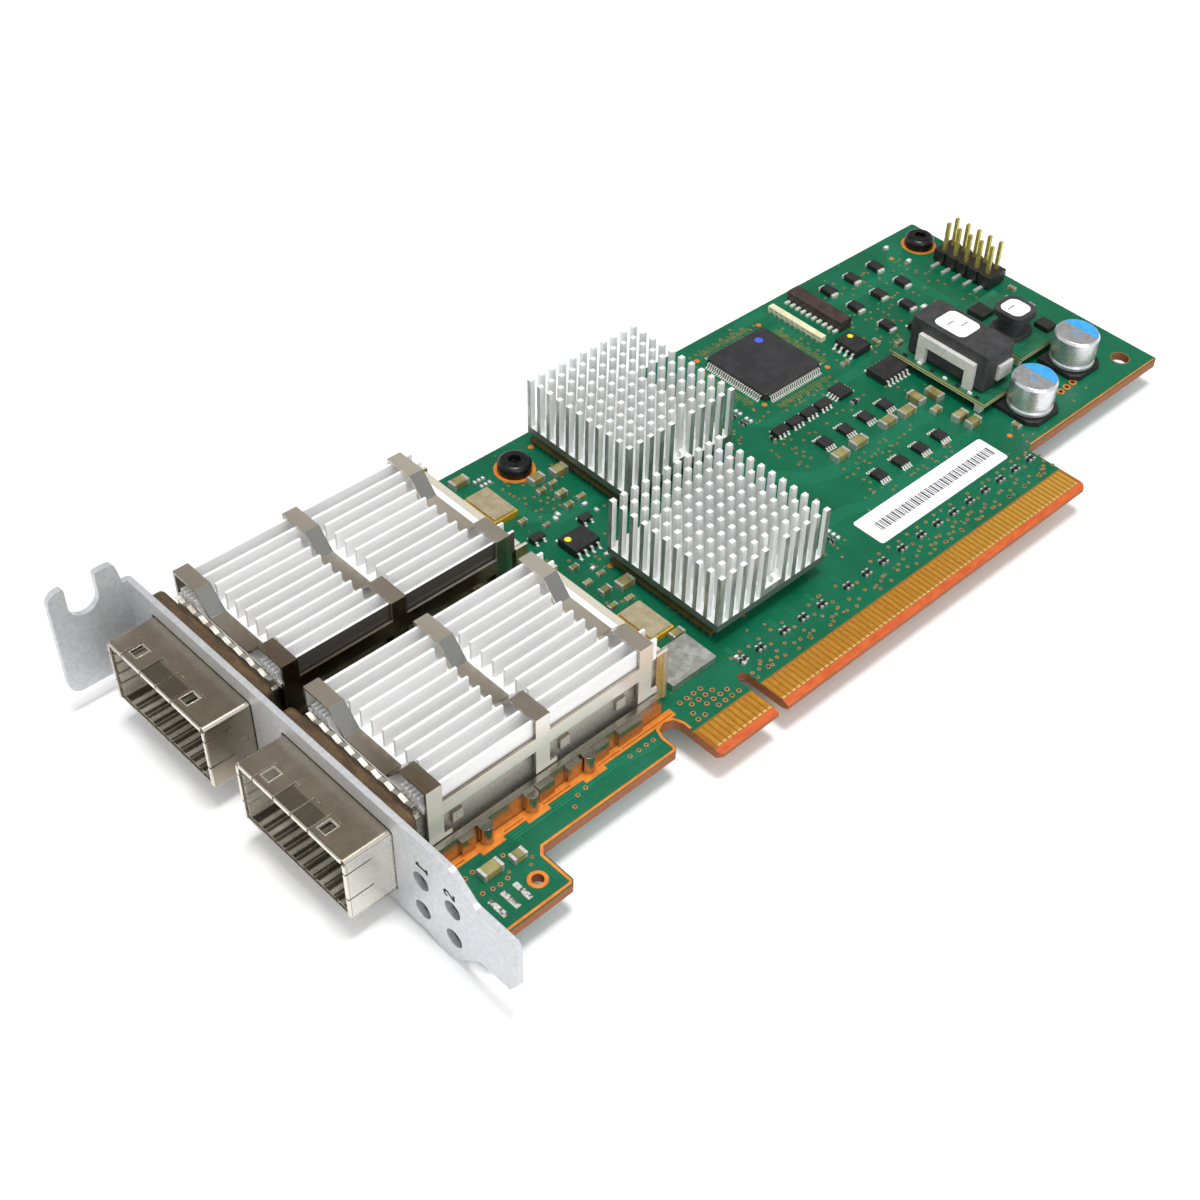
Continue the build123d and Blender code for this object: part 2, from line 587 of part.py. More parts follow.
with BuildPart() as chip_leads:
    for row in MEMORY + LOGIC + NETWORKS:
        lead = gull_lead(row[8], row[4] * 0.55, 0.16, row[9])
        with Locations(*lead_spots(row)):
            add(lead)
save(chip_leads.part, "chip_leads")

# two-terminal power parts: dark body, tinned end plates toward +Y and -Y
DIODES = [(93.6, 63.7), (99.9, 63.6), (106.2, 63.4), (93.6, 57.2), (99.9, 57.1),
          (106.3, 56.9), (93.6, 49.8), (101.4, 51.6)]
with BuildPart() as power_diode_bodies:
    for x, y in DIODES:
        slab(x - 0.95, x + 0.95, y - 1.2, y + 1.2, 0.08, 1.0)
save(power_diode_bodies.part, "power_diode_bodies")
with BuildPart() as power_diode_terminals:
    for x, y in DIODES:
        for s in (-1, 1):
            y0, y1 = sorted((y + s * 1.2, y + s * 1.8))
            slab(x - 0.75, x + 0.75, y0, y1, 0, 0.55)
save(power_diode_terminals.part, "power_diode_terminals")

# ceramic capacitors: x, y, length, width, height, long axis
CERAMICS = [
    (59.8, 31.2, 3.2, 1.7, 1.2, "x"), (64.6, 31.4, 3.2, 1.7, 1.2, "x"),
    (72.4, 31.7, 3.2, 1.7, 1.2, "x"), (77.0, 31.4, 3.2, 1.7, 1.2, "x"),
    (81.0, 32.7, 3.2, 1.7, 1.2, "y"), (84.3, 31.4, 3.2, 1.7, 1.2, "y"),
    (81.2, 28.5, 2.0, 1.3, 0.9, "x"), (82.9, 24.7, 2.9, 1.6, 1.2, "x"),
    (83.3, 22.2, 2.9, 1.6, 1.2, "x"), (-35.5, 5.9, 3.2, 1.7, 1.2, "x"),
    (-31.5, 5.3, 2.2, 1.4, 1.0, "x"), (9.6, 66.0, 3.0, 1.6, 1.1, "x"),
    (13.1, 32.6, 2.8, 1.7, 1.2, "x"), (23.1, 58.1, 2.8, 1.7, 1.2, "x"),
]
with BuildPart() as ceramic_capacitor_bodies:
    for x, y, length, w, h, axis in CERAMICS:
        core = length - 0.9
        if axis == "x":
            slab(x - core / 2, x + core / 2, y - w / 2, y + w / 2, 0.03, h)
        else:
            slab(x - w / 2, x + w / 2, y - core / 2, y + core / 2, 0.03, h)
save(ceramic_capacitor_bodies.part, "ceramic_capacitor_bodies")

# pairs of small coupling capacitors in a row above the edge contacts
PAIRS = [14.9, 18.5, 23.6, 27.7, 31.8, 37.7, 42.0, 45.9, 50.4, 55.0, 59.1, 63.1,
         67.2, 71.2, 75.2, 79.2, 83.3]
with BuildPart() as coupling_capacitor_bodies:
    for x in PAIRS:
        for dx in (-0.45, 0.45):
            slab(x + dx - 0.25, x + dx + 0.25, 9.8, 10.4, 0.02, 0.5)
save(coupling_capacitor_bodies.part, "coupling_capacitor_bodies")

with BuildPart() as capacitor_end_caps:
    for x, y, length, w, h, axis in CERAMICS:
        for s in (-1, 1):
            a, b = sorted((s * (length / 2 - 0.45), s * length / 2))
            if axis == "x":
                slab(x + a, x + b, y - w / 2, y + w / 2, 0, h + 0.02)
            else:
                slab(x - w / 2, x + w / 2, y + a, y + b, 0, h + 0.02)
    for x in PAIRS:
        for dx in (-0.45, 0.45):
            slab(x + dx - 0.25, x + dx + 0.25, 9.5, 9.8, 0, 0.52)
            slab(x + dx - 0.25, x + dx + 0.25, 10.4, 10.7, 0, 0.52)
save(capacitor_end_caps.part, "capacitor_end_caps")

# ---------------------------------------------------------------- oscillators
OSCILLATORS = [(9.35, 58.2), (9.35, 24.5)]
with BuildPart() as oscillator_bases:
    for x, y in OSCILLATORS:
        slab(x - 2.4, x + 2.4, y - 3.6, y + 3.6, 0, 1.1)
save(oscillator_bases.part, "oscillator_bases")
with BuildPart() as oscillator_lids:
    for x, y in OSCILLATORS:
        slab(x - 2.1, x + 2.1, y - 3.35, y + 3.35, 1.1, 1.55)
    fillet(oscillator_lids.edges().filter_by(Axis.Z), 0.3)
save(oscillator_lids.part, "oscillator_lids")

with BuildPart() as shield_can:
    slab(3.2, 11.9, 12.5, 18.9, 0, 1.2)
    chamfer(shield_can.edges().filter_by(Axis.Z), 0.2)
    slab(3.45, 11.65, 12.75, 18.65, -0.5, 0.95, mode=Mode.SUBTRACT)
save(shield_can.part, "shield_can")

# --------------------------------------------------------------- connectors
with BuildPart() as board_connector_body:
    slab(86.0, 88.9, 54.2, 67.0, 0.15, 2.1)
    chamfer([e for e in board_connector_body.edges().filter_by(Axis.Y)
             if e.center().Z > 2.0], 0.2)
save(board_connector_body.part, "board_connector_body")
with BuildPart() as board_connector_pins:
    for i in range(10):
        y = 60.6 + (i - 4.5) * 1.27
        slab(84.9, 86.0, y - 0.3, y + 0.3, 0, 0.35)
        slab(88.9, 89.7, y - 0.3, y + 0.3, 0, 0.35)
save(board_connector_pins.part, "board_connector_pins")
with BuildPart() as ribbon_connector:
    slab(81.1, 82.4, 54.4, 67.1, 0, 0.95)
    for i in range(10):
        y = 60.75 + (i - 4.5) * 1.27
        slab(81.0, 81.4, y - 0.25, y + 0.25, 0.3, 0.7, mode=Mode.SUBTRACT)
save(ribbon_connector.part, "ribbon_connector")

HDR_X, HDR_Y = 119.2, 51.6
with BuildPart() as header_housing:
    slab(HDR_X - 2.5, HDR_X + 2.5, HDR_Y - 6.5, HDR_Y + 6.5, 0.5, 2.7)
    for i in range(4):
        y = HDR_Y + (i - 1.5) * 2.54
        for s in (-1, 1):
            x0, x1 = sorted((HDR_X + s * 2.5, HDR_X + s * 2.2))
            slab(x0, x1, y - 0.3, y + 0.3, 0.5, 2.7, mode=Mode.SUBTRACT)
    for i in range(5):
        for s in (-1, 1):
            with Locations((HDR_X + s * 1.27, HDR_Y + (i - 2) * 2.54, 1.6)):
                Box(0.64, 0.64, 4, mode=Mode.SUBTRACT)
save(header_housing.part, "header_housing")
with BuildPart() as header_pins:
    for i in range(5):
        y = HDR_Y + (i - 2) * 2.54
        for s in (-1, 1):
            xp = HDR_X + s * 1.27
            slab(xp - 0.32, xp + 0.32, y - 0.32, y + 0.32, 0, 8.3)
            x0, x1 = sorted((xp, HDR_X + s * 4.6))
            slab(x0, x1, y - 0.32, y + 0.32, 0, 0.45)
save(header_pins.part, "header_pins")

# ------------------------------------------------------------- power module
with BuildPart() as module_board:
    with BuildSketch(Plane.XY.offset(1.6)):
        with BuildLine():
            Polyline((86.3, 22.6), (95.2, 22.6), (95.2, 29.2), (101.8, 29.2),
                     (101.8, 26.4), (114.6, 26.4), (114.6, 42.6), (86.3, 42.6),
                     close=True)
        make_face()
    extrude(amount=1.0)
save(module_board.part, "module_board")

with BuildPart() as module_supports:
    for x, y in ((87.2, 24.0), (87.2, 41.4), (100.0, 41.4), (113.4, 27.6),
                 (113.4, 41.4), (103.0, 27.8)):
        slab(x - 0.6, x + 0.6, y - 0.6, y + 0.6, 0, 1.6)
save(module_supports.part, "module_supports")

with BuildPart() as module_inductor:
    slab(87.9, 95.3, 24.5, 40.9, 3.2, 10.0)
    fillet(module_inductor.edges().filter_by(Axis.Z), 0.4)
    slab(89.5, 93.6, 26.5, 38.9, 2.6, 3.21)
save(module_inductor.part, "module_inductor")
with BuildPart() as module_inductor_winding:
    slab(87.0, 87.9, 26.4, 38.4, 6.0, 7.9)
    slab(87.0, 87.9, 26.4, 28.2, 2.6, 6.1)
    slab(87.0, 87.9, 36.6, 38.4, 2.6, 6.1)
    slab(91.2, 94.9, 23.9, 24.5, 4.2, 7.0)
save(module_inductor_winding.part, "module_inductor_winding")

with BuildPart() as module_drum_inductor:
    with BuildSketch(Plane.XY.offset(2.6)):
        with Locations((106.7, 32.6)):
            RectangleRounded(6.4, 6.4, 1.9)
    extrude(amount=1.0)
    with Locations((106.7, 32.6, 5.0)):
        Cylinder(2.6, 3.0)
    with BuildSketch(Plane.XY.offset(6.3)):
        with Locations((106.7, 32.6)):
            RectangleRounded(6.4, 6.4, 1.9)
    extrude(amount=1.2)
save(module_drum_inductor.part, "module_drum_inductor")

with BuildPart() as module_chips:
    for x, y, sx, sy, h in ((112.4, 33.8, 2.6, 3.0, 1.0), (112.3, 29.3, 2.6, 3.0, 1.0),
                            (98.6, 33.5, 4.0, 5.0, 1.3), (98.6, 39.4, 4.0, 4.0, 1.1),
                            (106.6, 39.4, 3.4, 3.4, 1.0)):
        slab(x - sx / 2, x + sx / 2, y - sy / 2, y + sy / 2, 2.6, 2.6 + h)
save(module_chips.part, "module_chips")

# --------------------------------------------------------- polymer capacitors
CANS = [(94.1, 18.6), (110.3, 21.6)]
with BuildPart() as capacitor_cans:
    for x, y in CANS:
        with BuildSketch(Plane.XZ.offset(-y)):
            with BuildLine():
                Polyline((x, 0.9), (x + 3.75, 0.9), (x + 4.0, 1.2), (x + 4.0, 1.7),
                         (x + 3.75, 1.95), (x + 3.75, 2.15), (x + 4.0, 2.5),
                         (x + 4.0, 6.35), (x + 3.7, 6.8), (x, 6.8), close=True)
            make_face()
        revolve(axis=Axis((x, y, 0), (0, 0, 1)), revolution_arc=360)
save(capacitor_cans.part, "capacitor_cans")
with BuildPart() as capacitor_bases:
    for x, y in CANS:
        with BuildSketch(Plane.XY.offset(0.0)) as foot:
            with Locations((x, y)):
                Rectangle(8.4, 8.4)
            chamfer([v for v in foot.vertices() if v.Y < y], 1.4)
        extrude(amount=0.9)
save(capacitor_bases.part, "capacitor_bases")

# ---------------------------------------------------------------- fasteners
with BuildPart() as board_screws:
    for x, y in SCREWS:
        with Locations((x, y, 1.05)):
            Cylinder(2.75, 2.1)
        with Locations((x, y, -1.6)):
            Cylinder(1.45, 3.4)
    fillet([e for e in board_screws.edges().filter_by(GeomType.CIRCLE)
            if e.center().Z > 2.0], 0.9)
    for x, y in SCREWS:
        with BuildSketch(Plane.XY.offset(1.1)):
            with Locations((x, y)):
                RegularPolygon(1.15, 6)
        extrude(amount=1.2, mode=Mode.SUBTRACT)
save(board_screws.part, "board_screws")
with BuildPart() as screw_nuts:
    for x, y in SCREWS:
        with BuildSketch(Plane.XY.offset(-BOARD_T - 1.7)):
            with Locations((x, y)):
                RegularPolygon(2.9, 6)
        extrude(amount=1.7)
        with Locations((x, y, -BOARD_T - 0.85)):
            Cylinder(1.45, 3, mode=Mode.SUBTRACT)
save(screw_nuts.part, "screw_nuts")

# ------------------------------------------------------------------- label
with BuildPart() as paper_label:
    with BuildSketch(Plane.XY.offset(0.0)):
        with Locations((65.1, 16.0)):
            RectangleRounded(32.1, 6.3, 0.6)
    extrude(amount=0.08)
save(paper_label.part, "paper_label")
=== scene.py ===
import math
import random

import bmesh
import bpy
from mathutils import Matrix, Vector


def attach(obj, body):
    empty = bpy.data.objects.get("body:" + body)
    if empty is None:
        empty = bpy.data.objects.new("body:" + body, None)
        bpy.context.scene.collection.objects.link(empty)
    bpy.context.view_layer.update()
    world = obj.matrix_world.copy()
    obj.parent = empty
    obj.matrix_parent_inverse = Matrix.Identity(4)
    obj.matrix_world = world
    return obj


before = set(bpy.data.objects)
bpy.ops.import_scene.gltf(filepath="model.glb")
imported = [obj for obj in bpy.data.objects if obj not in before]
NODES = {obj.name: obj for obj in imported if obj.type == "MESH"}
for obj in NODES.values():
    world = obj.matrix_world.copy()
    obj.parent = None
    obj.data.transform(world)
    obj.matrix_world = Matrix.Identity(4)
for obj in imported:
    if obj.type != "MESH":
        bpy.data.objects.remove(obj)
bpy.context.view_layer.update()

MM = 0.001
random.seed(7)


# ---------------------------------------------------------------- camera
camera_data = bpy.data.cameras.new("view")
camera = bpy.data.objects.new("view", camera_data)
bpy.context.scene.collection.objects.link(camera)
camera_data.sensor_width = 36.0
camera_data.sensor_fit = "HORIZONTAL"
camera_data.lens = 1756.6 / 1200 * 36
camera_data.shift_x = (600 - 754.8) / 1200
camera_data.shift_y = (631.76 - 600) / 1200
camera_data.clip_start = 0.01
camera_data.clip_end = 50
right = Vector((0.684276, -0.724821, 0.080002))
down = Vector((-0.473271, -0.524883, -0.707469))
ahead = Vector((0.55478, 0.446242, -0.702202))
turn = Matrix((right, -down, -ahead)).transposed().to_4x4()
camera.matrix_world = Matrix.Translation((-0.1207395, -0.1005559, 0.1786937)) @ turn
bpy.context.scene.camera = camera


# ------------------------------------------------------------- materials
def srgb(r, g, b):
    out = []
    for v in (r, g, b):
        v /= 255
        out.append(v / 12.92 if v <= 0.04045 else ((v + 0.055) / 1.055) ** 2.4)
    return (*out, 1.0)


class Graph:
    """A small helper to wire shader nodes."""

    def __init__(self, name):
        self.m = bpy.data.materials.new(name)
        self.m.use_nodes = True
        self.t = self.m.node_tree
        self.t.nodes.clear()
        self.out = self.t.nodes.new("ShaderNodeOutputMaterial")
        self.bsdf = self.t.nodes.new("ShaderNodeBsdfPrincipled")
        self.t.links.new(self.bsdf.outputs[0], self.out.inputs[0])
        self.coord = self.t.nodes.new("ShaderNodeTexCoord")
        scale = self.t.nodes.new("ShaderNodeVectorMath")
        scale.operation = "SCALE"
        scale.inputs["Scale"].default_value = 1000.0
        self.t.links.new(self.coord.outputs["Object"], scale.inputs[0])
        self.mm = scale.outputs[0]
        sep = self.t.nodes.new("ShaderNodeSeparateXYZ")
        self.t.links.new(self.mm, sep.inputs[0])
        self.x, self.y, self.z = sep.outputs
        self._geo = None

    def feed(self, socket, value):
        if isinstance(value, bpy.types.NodeSocket):
            self.t.links.new(value, socket)
        elif value is not None:
            socket.default_value = value

    def math(self, op, a, b=None, c=None, clamp=False):
        n = self.t.nodes.new("ShaderNodeMath")
        n.operation = op
        n.use_clamp = clamp
        self.feed(n.inputs[0], a)
        self.feed(n.inputs[1], b)
        self.feed(n.inputs[2], c)
        return n.outputs[0]

    def between(self, v, lo, hi):
        return self.math("MULTIPLY", self.math("GREATER_THAN", v, lo), self.math("LESS_THAN", v, hi))

    def both(self, *items):
        out = items[0]
        for i in items[1:]:
            out = self.math("MULTIPLY", out, i)
        return out

    def stretch(self, vec, s):
        n = self.t.nodes.new("ShaderNodeVectorMath")
        n.operation = "MULTIPLY"
        self.feed(n.inputs[0], vec)
        n.inputs[1].default_value = s
        return n.outputs[0]

    def noise(self, scale, detail=3.0, rough=0.55, s=None, dist=0.0):
        n = self.t.nodes.new("ShaderNodeTexNoise")
        n.inputs["Scale"].default_value = scale
        n.inputs["Detail"].default_value = detail
        n.inputs["Roughness"].default_value = rough
        n.inputs["Distortion"].default_value = dist
        self.feed(n.inputs["Vector"], self.stretch(self.mm, s) if s else self.mm)
        return n.outputs[0]

    def voronoi(self, scale, feature="F1", rand=1.0, s=None):
        n = self.t.nodes.new("ShaderNodeTexVoronoi")
        n.feature = feature
        n.inputs["Scale"].default_value = scale
        n.inputs["Randomness"].default_value = rand
        self.feed(n.inputs["Vector"], self.stretch(self.mm, s) if s else self.mm)
        return n.outputs["Distance"], n.outputs.get("Color")

    def ramp(self, v, lo, hi, a=0.0, b=1.0):
        n = self.t.nodes.new("ShaderNodeMapRange")
        n.interpolation_type = "SMOOTHSTEP"
        self.feed(n.inputs[0], v)
        for i, k in enumerate((lo, hi, a, b)):
            n.inputs[i + 1].default_value = k
        return n.outputs[0]

    def mix(self, f, a, b):
        n = self.t.nodes.new("ShaderNodeMix")
        n.data_type = "RGBA"
        self.feed(n.inputs[0], f)
        self.feed(n.inputs[6], a)
        self.feed(n.inputs[7], b)
        return n.outputs[2]

    def nz(self):
        if self._geo is None:
            g = self.t.nodes.new("ShaderNodeNewGeometry")
            s = self.t.nodes.new("ShaderNodeSeparateXYZ")
            self.t.links.new(g.outputs["True Normal"], s.inputs[0])
            self._geo = s.outputs
        return self._geo

    def bump(self, height, distance, bevel=0.0, strength=1.0):
        n = self.t.nodes.new("ShaderNodeBump")
        n.inputs["Strength"].default_value = strength
        n.inputs["Distance"].default_value = distance
        self.feed(n.inputs["Height"], height)
        if bevel:
            b = self.t.nodes.new("ShaderNodeBevel")
            b.samples = 4
            b.inputs["Radius"].default_value = bevel * MM
            self.t.links.new(b.outputs[0], n.inputs["Normal"])
        self.t.links.new(n.outputs[0], self.bsdf.inputs["Normal"])

    def set(self, **kw):
        for k, v in kw.items():
            self.feed(self.bsdf.inputs[k.replace("_", " ")], v)
        return self.m


def finish(name, a, b, scale=0.6, metallic=0.0, rough=(0.35, 0.5), bump=0.01, grain=6.0,
           bevel=0.0, s=None, span=(0.35, 0.65), coat=0.0, speck=None):
    """Two tones blended by noise, uneven gloss and a fine surface grain."""
    g = Graph(name)
    tone = g.ramp(g.noise(scale, 4.0, 0.6, s), span[0], span[1])
    colour = g.mix(tone, srgb(*a), srgb(*b))
    if speck:
        dots = g.ramp(g.noise(grain * 1.7, 2.0, 0.6), 0.60, 0.68)
        colour = g.mix(dots, colour, srgb(*speck))
    gloss = g.ramp(g.noise(scale * 2.3, 3.0, 0.6, s), 0.3, 0.7, rough[0], rough[1])
    g.bump(g.noise(grain, 3.0, 0.6, s), bump * MM, bevel)
    g.set(Base_Color=colour, Roughness=gloss)
    g.bsdf.inputs["Metallic"].default_value = metallic
    g.bsdf.inputs["Coat Weight"].default_value = coat
    return g.m


M = {}
M["bracket"] = finish("bracket zinc", (192, 195, 199), (206, 208, 211), 1.6, 0.55, (0.38, 0.46), 0.008, 7.0, 0.12,
                      speck=(178, 182, 188))
M["pan"] = finish("pan nickel", (170, 165, 154), (180, 175, 165), 0.12, 1.0, (0.22, 0.27), 0.003, 1.2, 0.08)
M["spring"] = finish("spring metal", (186, 180, 166), (206, 200, 186), 0.3, 0.35, (0.24, 0.34), 0.003, 3.0, 0.04)
M["strip"] = finish("contact strip", (176, 172, 160), (200, 197, 187), 0.6, 0.7, (0.26, 0.36), 0.004, 4.0, 0.03)
# the lip's light colour is a painted highlight on the rolled edge
M["lip"] = finish("lip painted highlight", (214, 208, 196), (226, 221, 210), 0.3, 0.9, (0.2, 0.28), 0.003, 4.0, 0.06)
M["gold_pin"] = finish("gold pin", (196, 168, 84), (214, 190, 112), 0.8, 1.0, (0.2, 0.32), 0.003, 6.0, 0.05)
M["solder"] = finish("tinned lead", (218, 217, 208), (234, 233, 227), 1.5, 0.35, (0.3, 0.42), 0.02, 5.0, 0.03)
M["cap_end"] = finish("cap end", (196, 194, 190), (220, 218, 212), 2.0, 0.7, (0.3, 0.5), 0.03, 4.0, 0.06)
M["chip"] = finish("chip black", (24, 24, 26), (36, 36, 38), 0.5, 0.0, (0.42, 0.58), 0.012, 12.0, 0.06)
M["qfp"] = finish("flat chip", (34, 34, 37), (45, 45, 48), 0.3, 0.0, (0.4, 0.52), 0.012, 14.0, 0.08)
M["plastic"] = finish("black plastic", (24, 24, 25), (34, 34, 35), 0.6, 0.0, (0.35, 0.5), 0.01, 8.0, 0.08)
M["ferrite"] = finish("ferrite", (44, 44, 46), (58, 58, 60), 0.5, 0.0, (0.4, 0.6), 0.03, 7.0, 0.12)
M["ceramic"] = finish("tan ceramic", (112, 104, 62), (150, 141, 92), 0.35, 0.0, (0.3, 0.45), 0.01, 6.0, 0.08)
M["substrate"] = finish("substrate", (70, 66, 30), (92, 84, 40), 0.6, 0.0, (0.35, 0.5), 0.01, 6.0, 0.04)
M["lid"] = finish("package lid", (150, 152, 152), (170, 172, 172), 0.4, 1.0, (0.3, 0.4), 0.005, 4.0, 0.1)
M["pad"] = finish("thermal pad", (122, 132, 138), (140, 150, 156), 0.8, 0.0, (0.6, 0.8), 0.03, 5.0)
M["osc_base"] = finish("oscillator rim", (220, 174, 46), (238, 196, 70), 0.8, 0.5, (0.25, 0.4), 0.01, 5.0, 0.1)
M["osc_lid"] = finish("oscillator lid", (184, 170, 138), (202, 189, 158), 0.7, 0.6, (0.3, 0.45), 0.02, 4.0, 0.1)
M["tin"] = finish("tin plate", (176, 176, 170), (200, 200, 196), 0.5, 0.9, (0.3, 0.45), 0.02, 3.0, 0.12)
# solder balls painted dark grey as shade under the package; the real balls are silver
M["ball"] = finish("solder ball", (92, 92, 88), (116, 116, 112), 0.8, 0.7, (0.4, 0.55), 0.01, 5.0, 0.03)
M["conn"] = finish("brown black plastic", (46, 34, 31), (66, 50, 46), 0.5, 0.0, (0.4, 0.52), 0.012, 8.0, 0.08)
M["worn_tin"] = finish("worn tin pad", (104, 104, 98), (240, 240, 236), 1.1, 0.7, (0.2, 0.34), 0.02, 3.0, 0.0, span=(0.42, 0.52))
# the dark lens also stands in for shade inside the lamp holes
M["lens"] = finish("smoked lens and painted hole shade", (22, 23, 25), (58, 60, 62), 1.6, 0.0, (0.12, 0.2), 0.004, 5.0, 0.0, coat=0.2, span=(0.42, 0.58))
M["cream"] = finish("cream plastic", (204, 202, 166), (220, 218, 186), 0.6, 0.0, (0.4, 0.55), 0.01, 6.0, 0.08)
M["winding"] = finish("winding", (222, 220, 212), (236, 235, 230), 0.8, 0.3, (0.3, 0.45), 0.02, 3.0, 0.15)
M["screw"] = finish("black screw", (20, 20, 22), (34, 34, 36), 0.8, 0.4, (0.22, 0.36), 0.01, 5.0, 0.1)
M["nut"] = finish("nut steel", (150, 152, 154), (176, 178, 180), 0.7, 1.0, (0.3, 0.42), 0.01, 5.0, 0.12)
M["lamp"] = finish("lamp", (196, 202, 198), (216, 220, 216), 0.5, 0.0, (0.2, 0.3), 0.004, 5.0, 0.1)
M["copper"] = finish("bare copper", (222, 122, 36), (236, 142, 54), 0.5, 0.35, (0.3, 0.4), 0.006, 4.0, 0.0)
M["gold"] = finish("gold pad", (160, 112, 66), (184, 134, 84), 1.0, 0.3, (0.3, 0.4), 0.005, 6.0, 0.0)
M["trace"] = finish("trace under mask", (16, 112, 80), (22, 118, 86), 0.5, 0.0, (0.28, 0.36), 0.003, 6.0, 0.0)
M["trace_dark"] = finish("gap under mask", (8, 84, 62), (12, 92, 68), 0.5, 0.0, (0.28, 0.36), 0.003, 6.0, 0.0)
M["dark"] = finish("dark fill and painted shade", (10, 14, 12), (24, 26, 22), 1.0, 0.0, (0.6, 0.8), 0.01, 5.0, 0.0)
M["blue"] = finish("blue band", (48, 148, 216), (66, 164, 228), 0.9, 0.0, (0.32, 0.45), 0.01, 6.0, 0.0)
M["yellow"] = finish("yellow dot", (224, 204, 30), (240, 222, 60), 1.5, 0.0, (0.35, 0.5), 0.02, 8.0, 0.0)
M["ink"] = finish("grey print", (60, 62, 66), (84, 86, 90), 3.0, 0.0, (0.5, 0.7), 0.004, 10.0, 0.0)
M["hatch"] = finish("tinned pad run", (88, 104, 58), (114, 118, 62), 0.8, 0.2, (0.3, 0.4), 0.006, 6.0, 0.0)
M["blue_dot"] = finish("blue dot", (62, 82, 226), (78, 98, 236), 1.5, 0.0, (0.35, 0.5), 0.02, 8.0, 0.0)
M["white_ink"] = finish("white print", (216, 220, 214), (230, 232, 228), 2.0, 0.0, (0.5, 0.65), 0.004, 10.0, 0.0)
M["white_part"] = finish("white part", (206, 214, 218), (226, 230, 232), 1.5, 0.0, (0.35, 0.5), 0.01, 6.0, 0.0)


def gasket_material():
    g = Graph("gasket cloth")
    warp = g.math("SINE", g.math("MULTIPLY", g.y, 22.0))
    weft = g.math("SINE", g.math("MULTIPLY", g.math("ADD", g.x, g.z), 22.0))
    weave = g.math("MULTIPLY", warp, weft)
    tone = g.ramp(g.noise(0.9, 4.0, 0.7, (1.0, 0.35, 1.0)), 0.35, 0.68)
    colour = g.mix(tone, srgb(74, 56, 38), srgb(110, 86, 54))
    colour = g.mix(g.ramp(weave, -0.9, 0.9, 0.0, 0.35), colour, srgb(56, 44, 32))
    g.bump(weave, 0.02 * MM)
    g.set(Base_Color=colour, Roughness=g.ramp(g.noise(2.0), 0.3, 0.7, 0.42, 0.62))
    g.bsdf.inputs["Metallic"].default_value = 0.35
    return g.m


def sheet_material(name, dark, light, near_face_painted_light, slant, metal, side_metal, rough, bevel, stretch=None):
    """Thin plated sheet with painted light: darker toward the bracket and lighter
    toward the far end and the back of each port, with slopes and the rear tops given
    painted tones, and the near face of the second port painted lighter than that of the first."""
    g = Graph(name)
    nx, ny, nz = g.nz()
    second = g.math("LESS_THAN", g.y, 38.0)
    # painted light: the tone darkens toward the bracket and lightens toward the far end and the back, with some random
    # drift
    along = g.ramp(g.x, -46.0, 0.0)
    centre = g.math("SUBTRACT", 52.3, g.math("MULTIPLY", second, 28.55))
    across = g.ramp(g.math("SUBTRACT", g.y, centre), -11.0, 11.0)
    drift = g.math("MULTIPLY", g.math("SUBTRACT", g.noise(0.22, 3.0, 0.6, stretch), 0.5), 0.5)
    tone = g.math("ADD", g.math("ADD", g.math("MULTIPLY", along, 0.55), g.math("MULTIPLY", across, 0.45)), drift, clamp=True)
    colour = g.mix(tone, srgb(*dark), srgb(*light))
    near = g.math("LESS_THAN", ny, -0.9)
    # painted light: slopes take their own tone, and the second port's near face is painted lighter
    slope = g.between(nz, 0.5, 0.88)
    colour = g.mix(slope, colour, srgb(*slant))
    colour = g.mix(g.math("MULTIPLY", near, second), colour, srgb(*near_face_painted_light))
    # painted shade: the middle fingers of the nose are darker at their tips, where they bend down
    offset = g.math("SUBTRACT", g.y, centre)
    tip_painted_shade = g.both(g.between(offset, -3.75, 3.05), g.math("LESS_THAN", g.x, -48.9), g.math("GREATER_THAN", nz, 0.9))
    colour = g.mix(g.math("MULTIPLY", tip_painted_shade, 0.55), colour, srgb(84, 78, 66))
    # warm tint on the near faces at the rear corners
    corner = g.both(g.math("GREATER_THAN", g.x, -0.6), g.math("LESS_THAN", ny, -0.9))
    colour = g.mix(g.math("MULTIPLY", corner, g.ramp(g.noise(0.9, 2.0, 0.5, (2.5, 1.0, 0.1)), 0.4, 0.6)), colour, srgb(226, 172, 84))
    # painted light: the tops at the rear end are lighter
    rear = g.both(g.math("GREATER_THAN", g.x, -1.9), g.math("GREATER_THAN", nz, 0.9))
    colour = g.mix(rear, colour, srgb(236, 231, 214))
    g.bump(g.noise(0.8, 2.0, 0.5, stretch), 0.001 * MM, bevel)
    gloss = g.ramp(g.noise(0.4, 3.0, 0.6, stretch), 0.3, 0.7, rough[0], rough[1])
    flat_level = g.math("SUBTRACT", metal, g.math("MULTIPLY", rear, metal - 0.5))
    flat_level = g.math("ADD", flat_level, g.math("MULTIPLY", slope, 1.0 - metal))
    level = g.math("ADD", g.math("MULTIPLY", g.math("SUBTRACT", 1.0, near), flat_level),
                   g.math("MULTIPLY", near, g.math("ADD", g.math("MULTIPLY", second, side_metal),
                                                   g.math("SUBTRACT", 1.0, second))))
    g.set(Base_Color=colour, Roughness=gloss, Metallic=level)
    return g.m


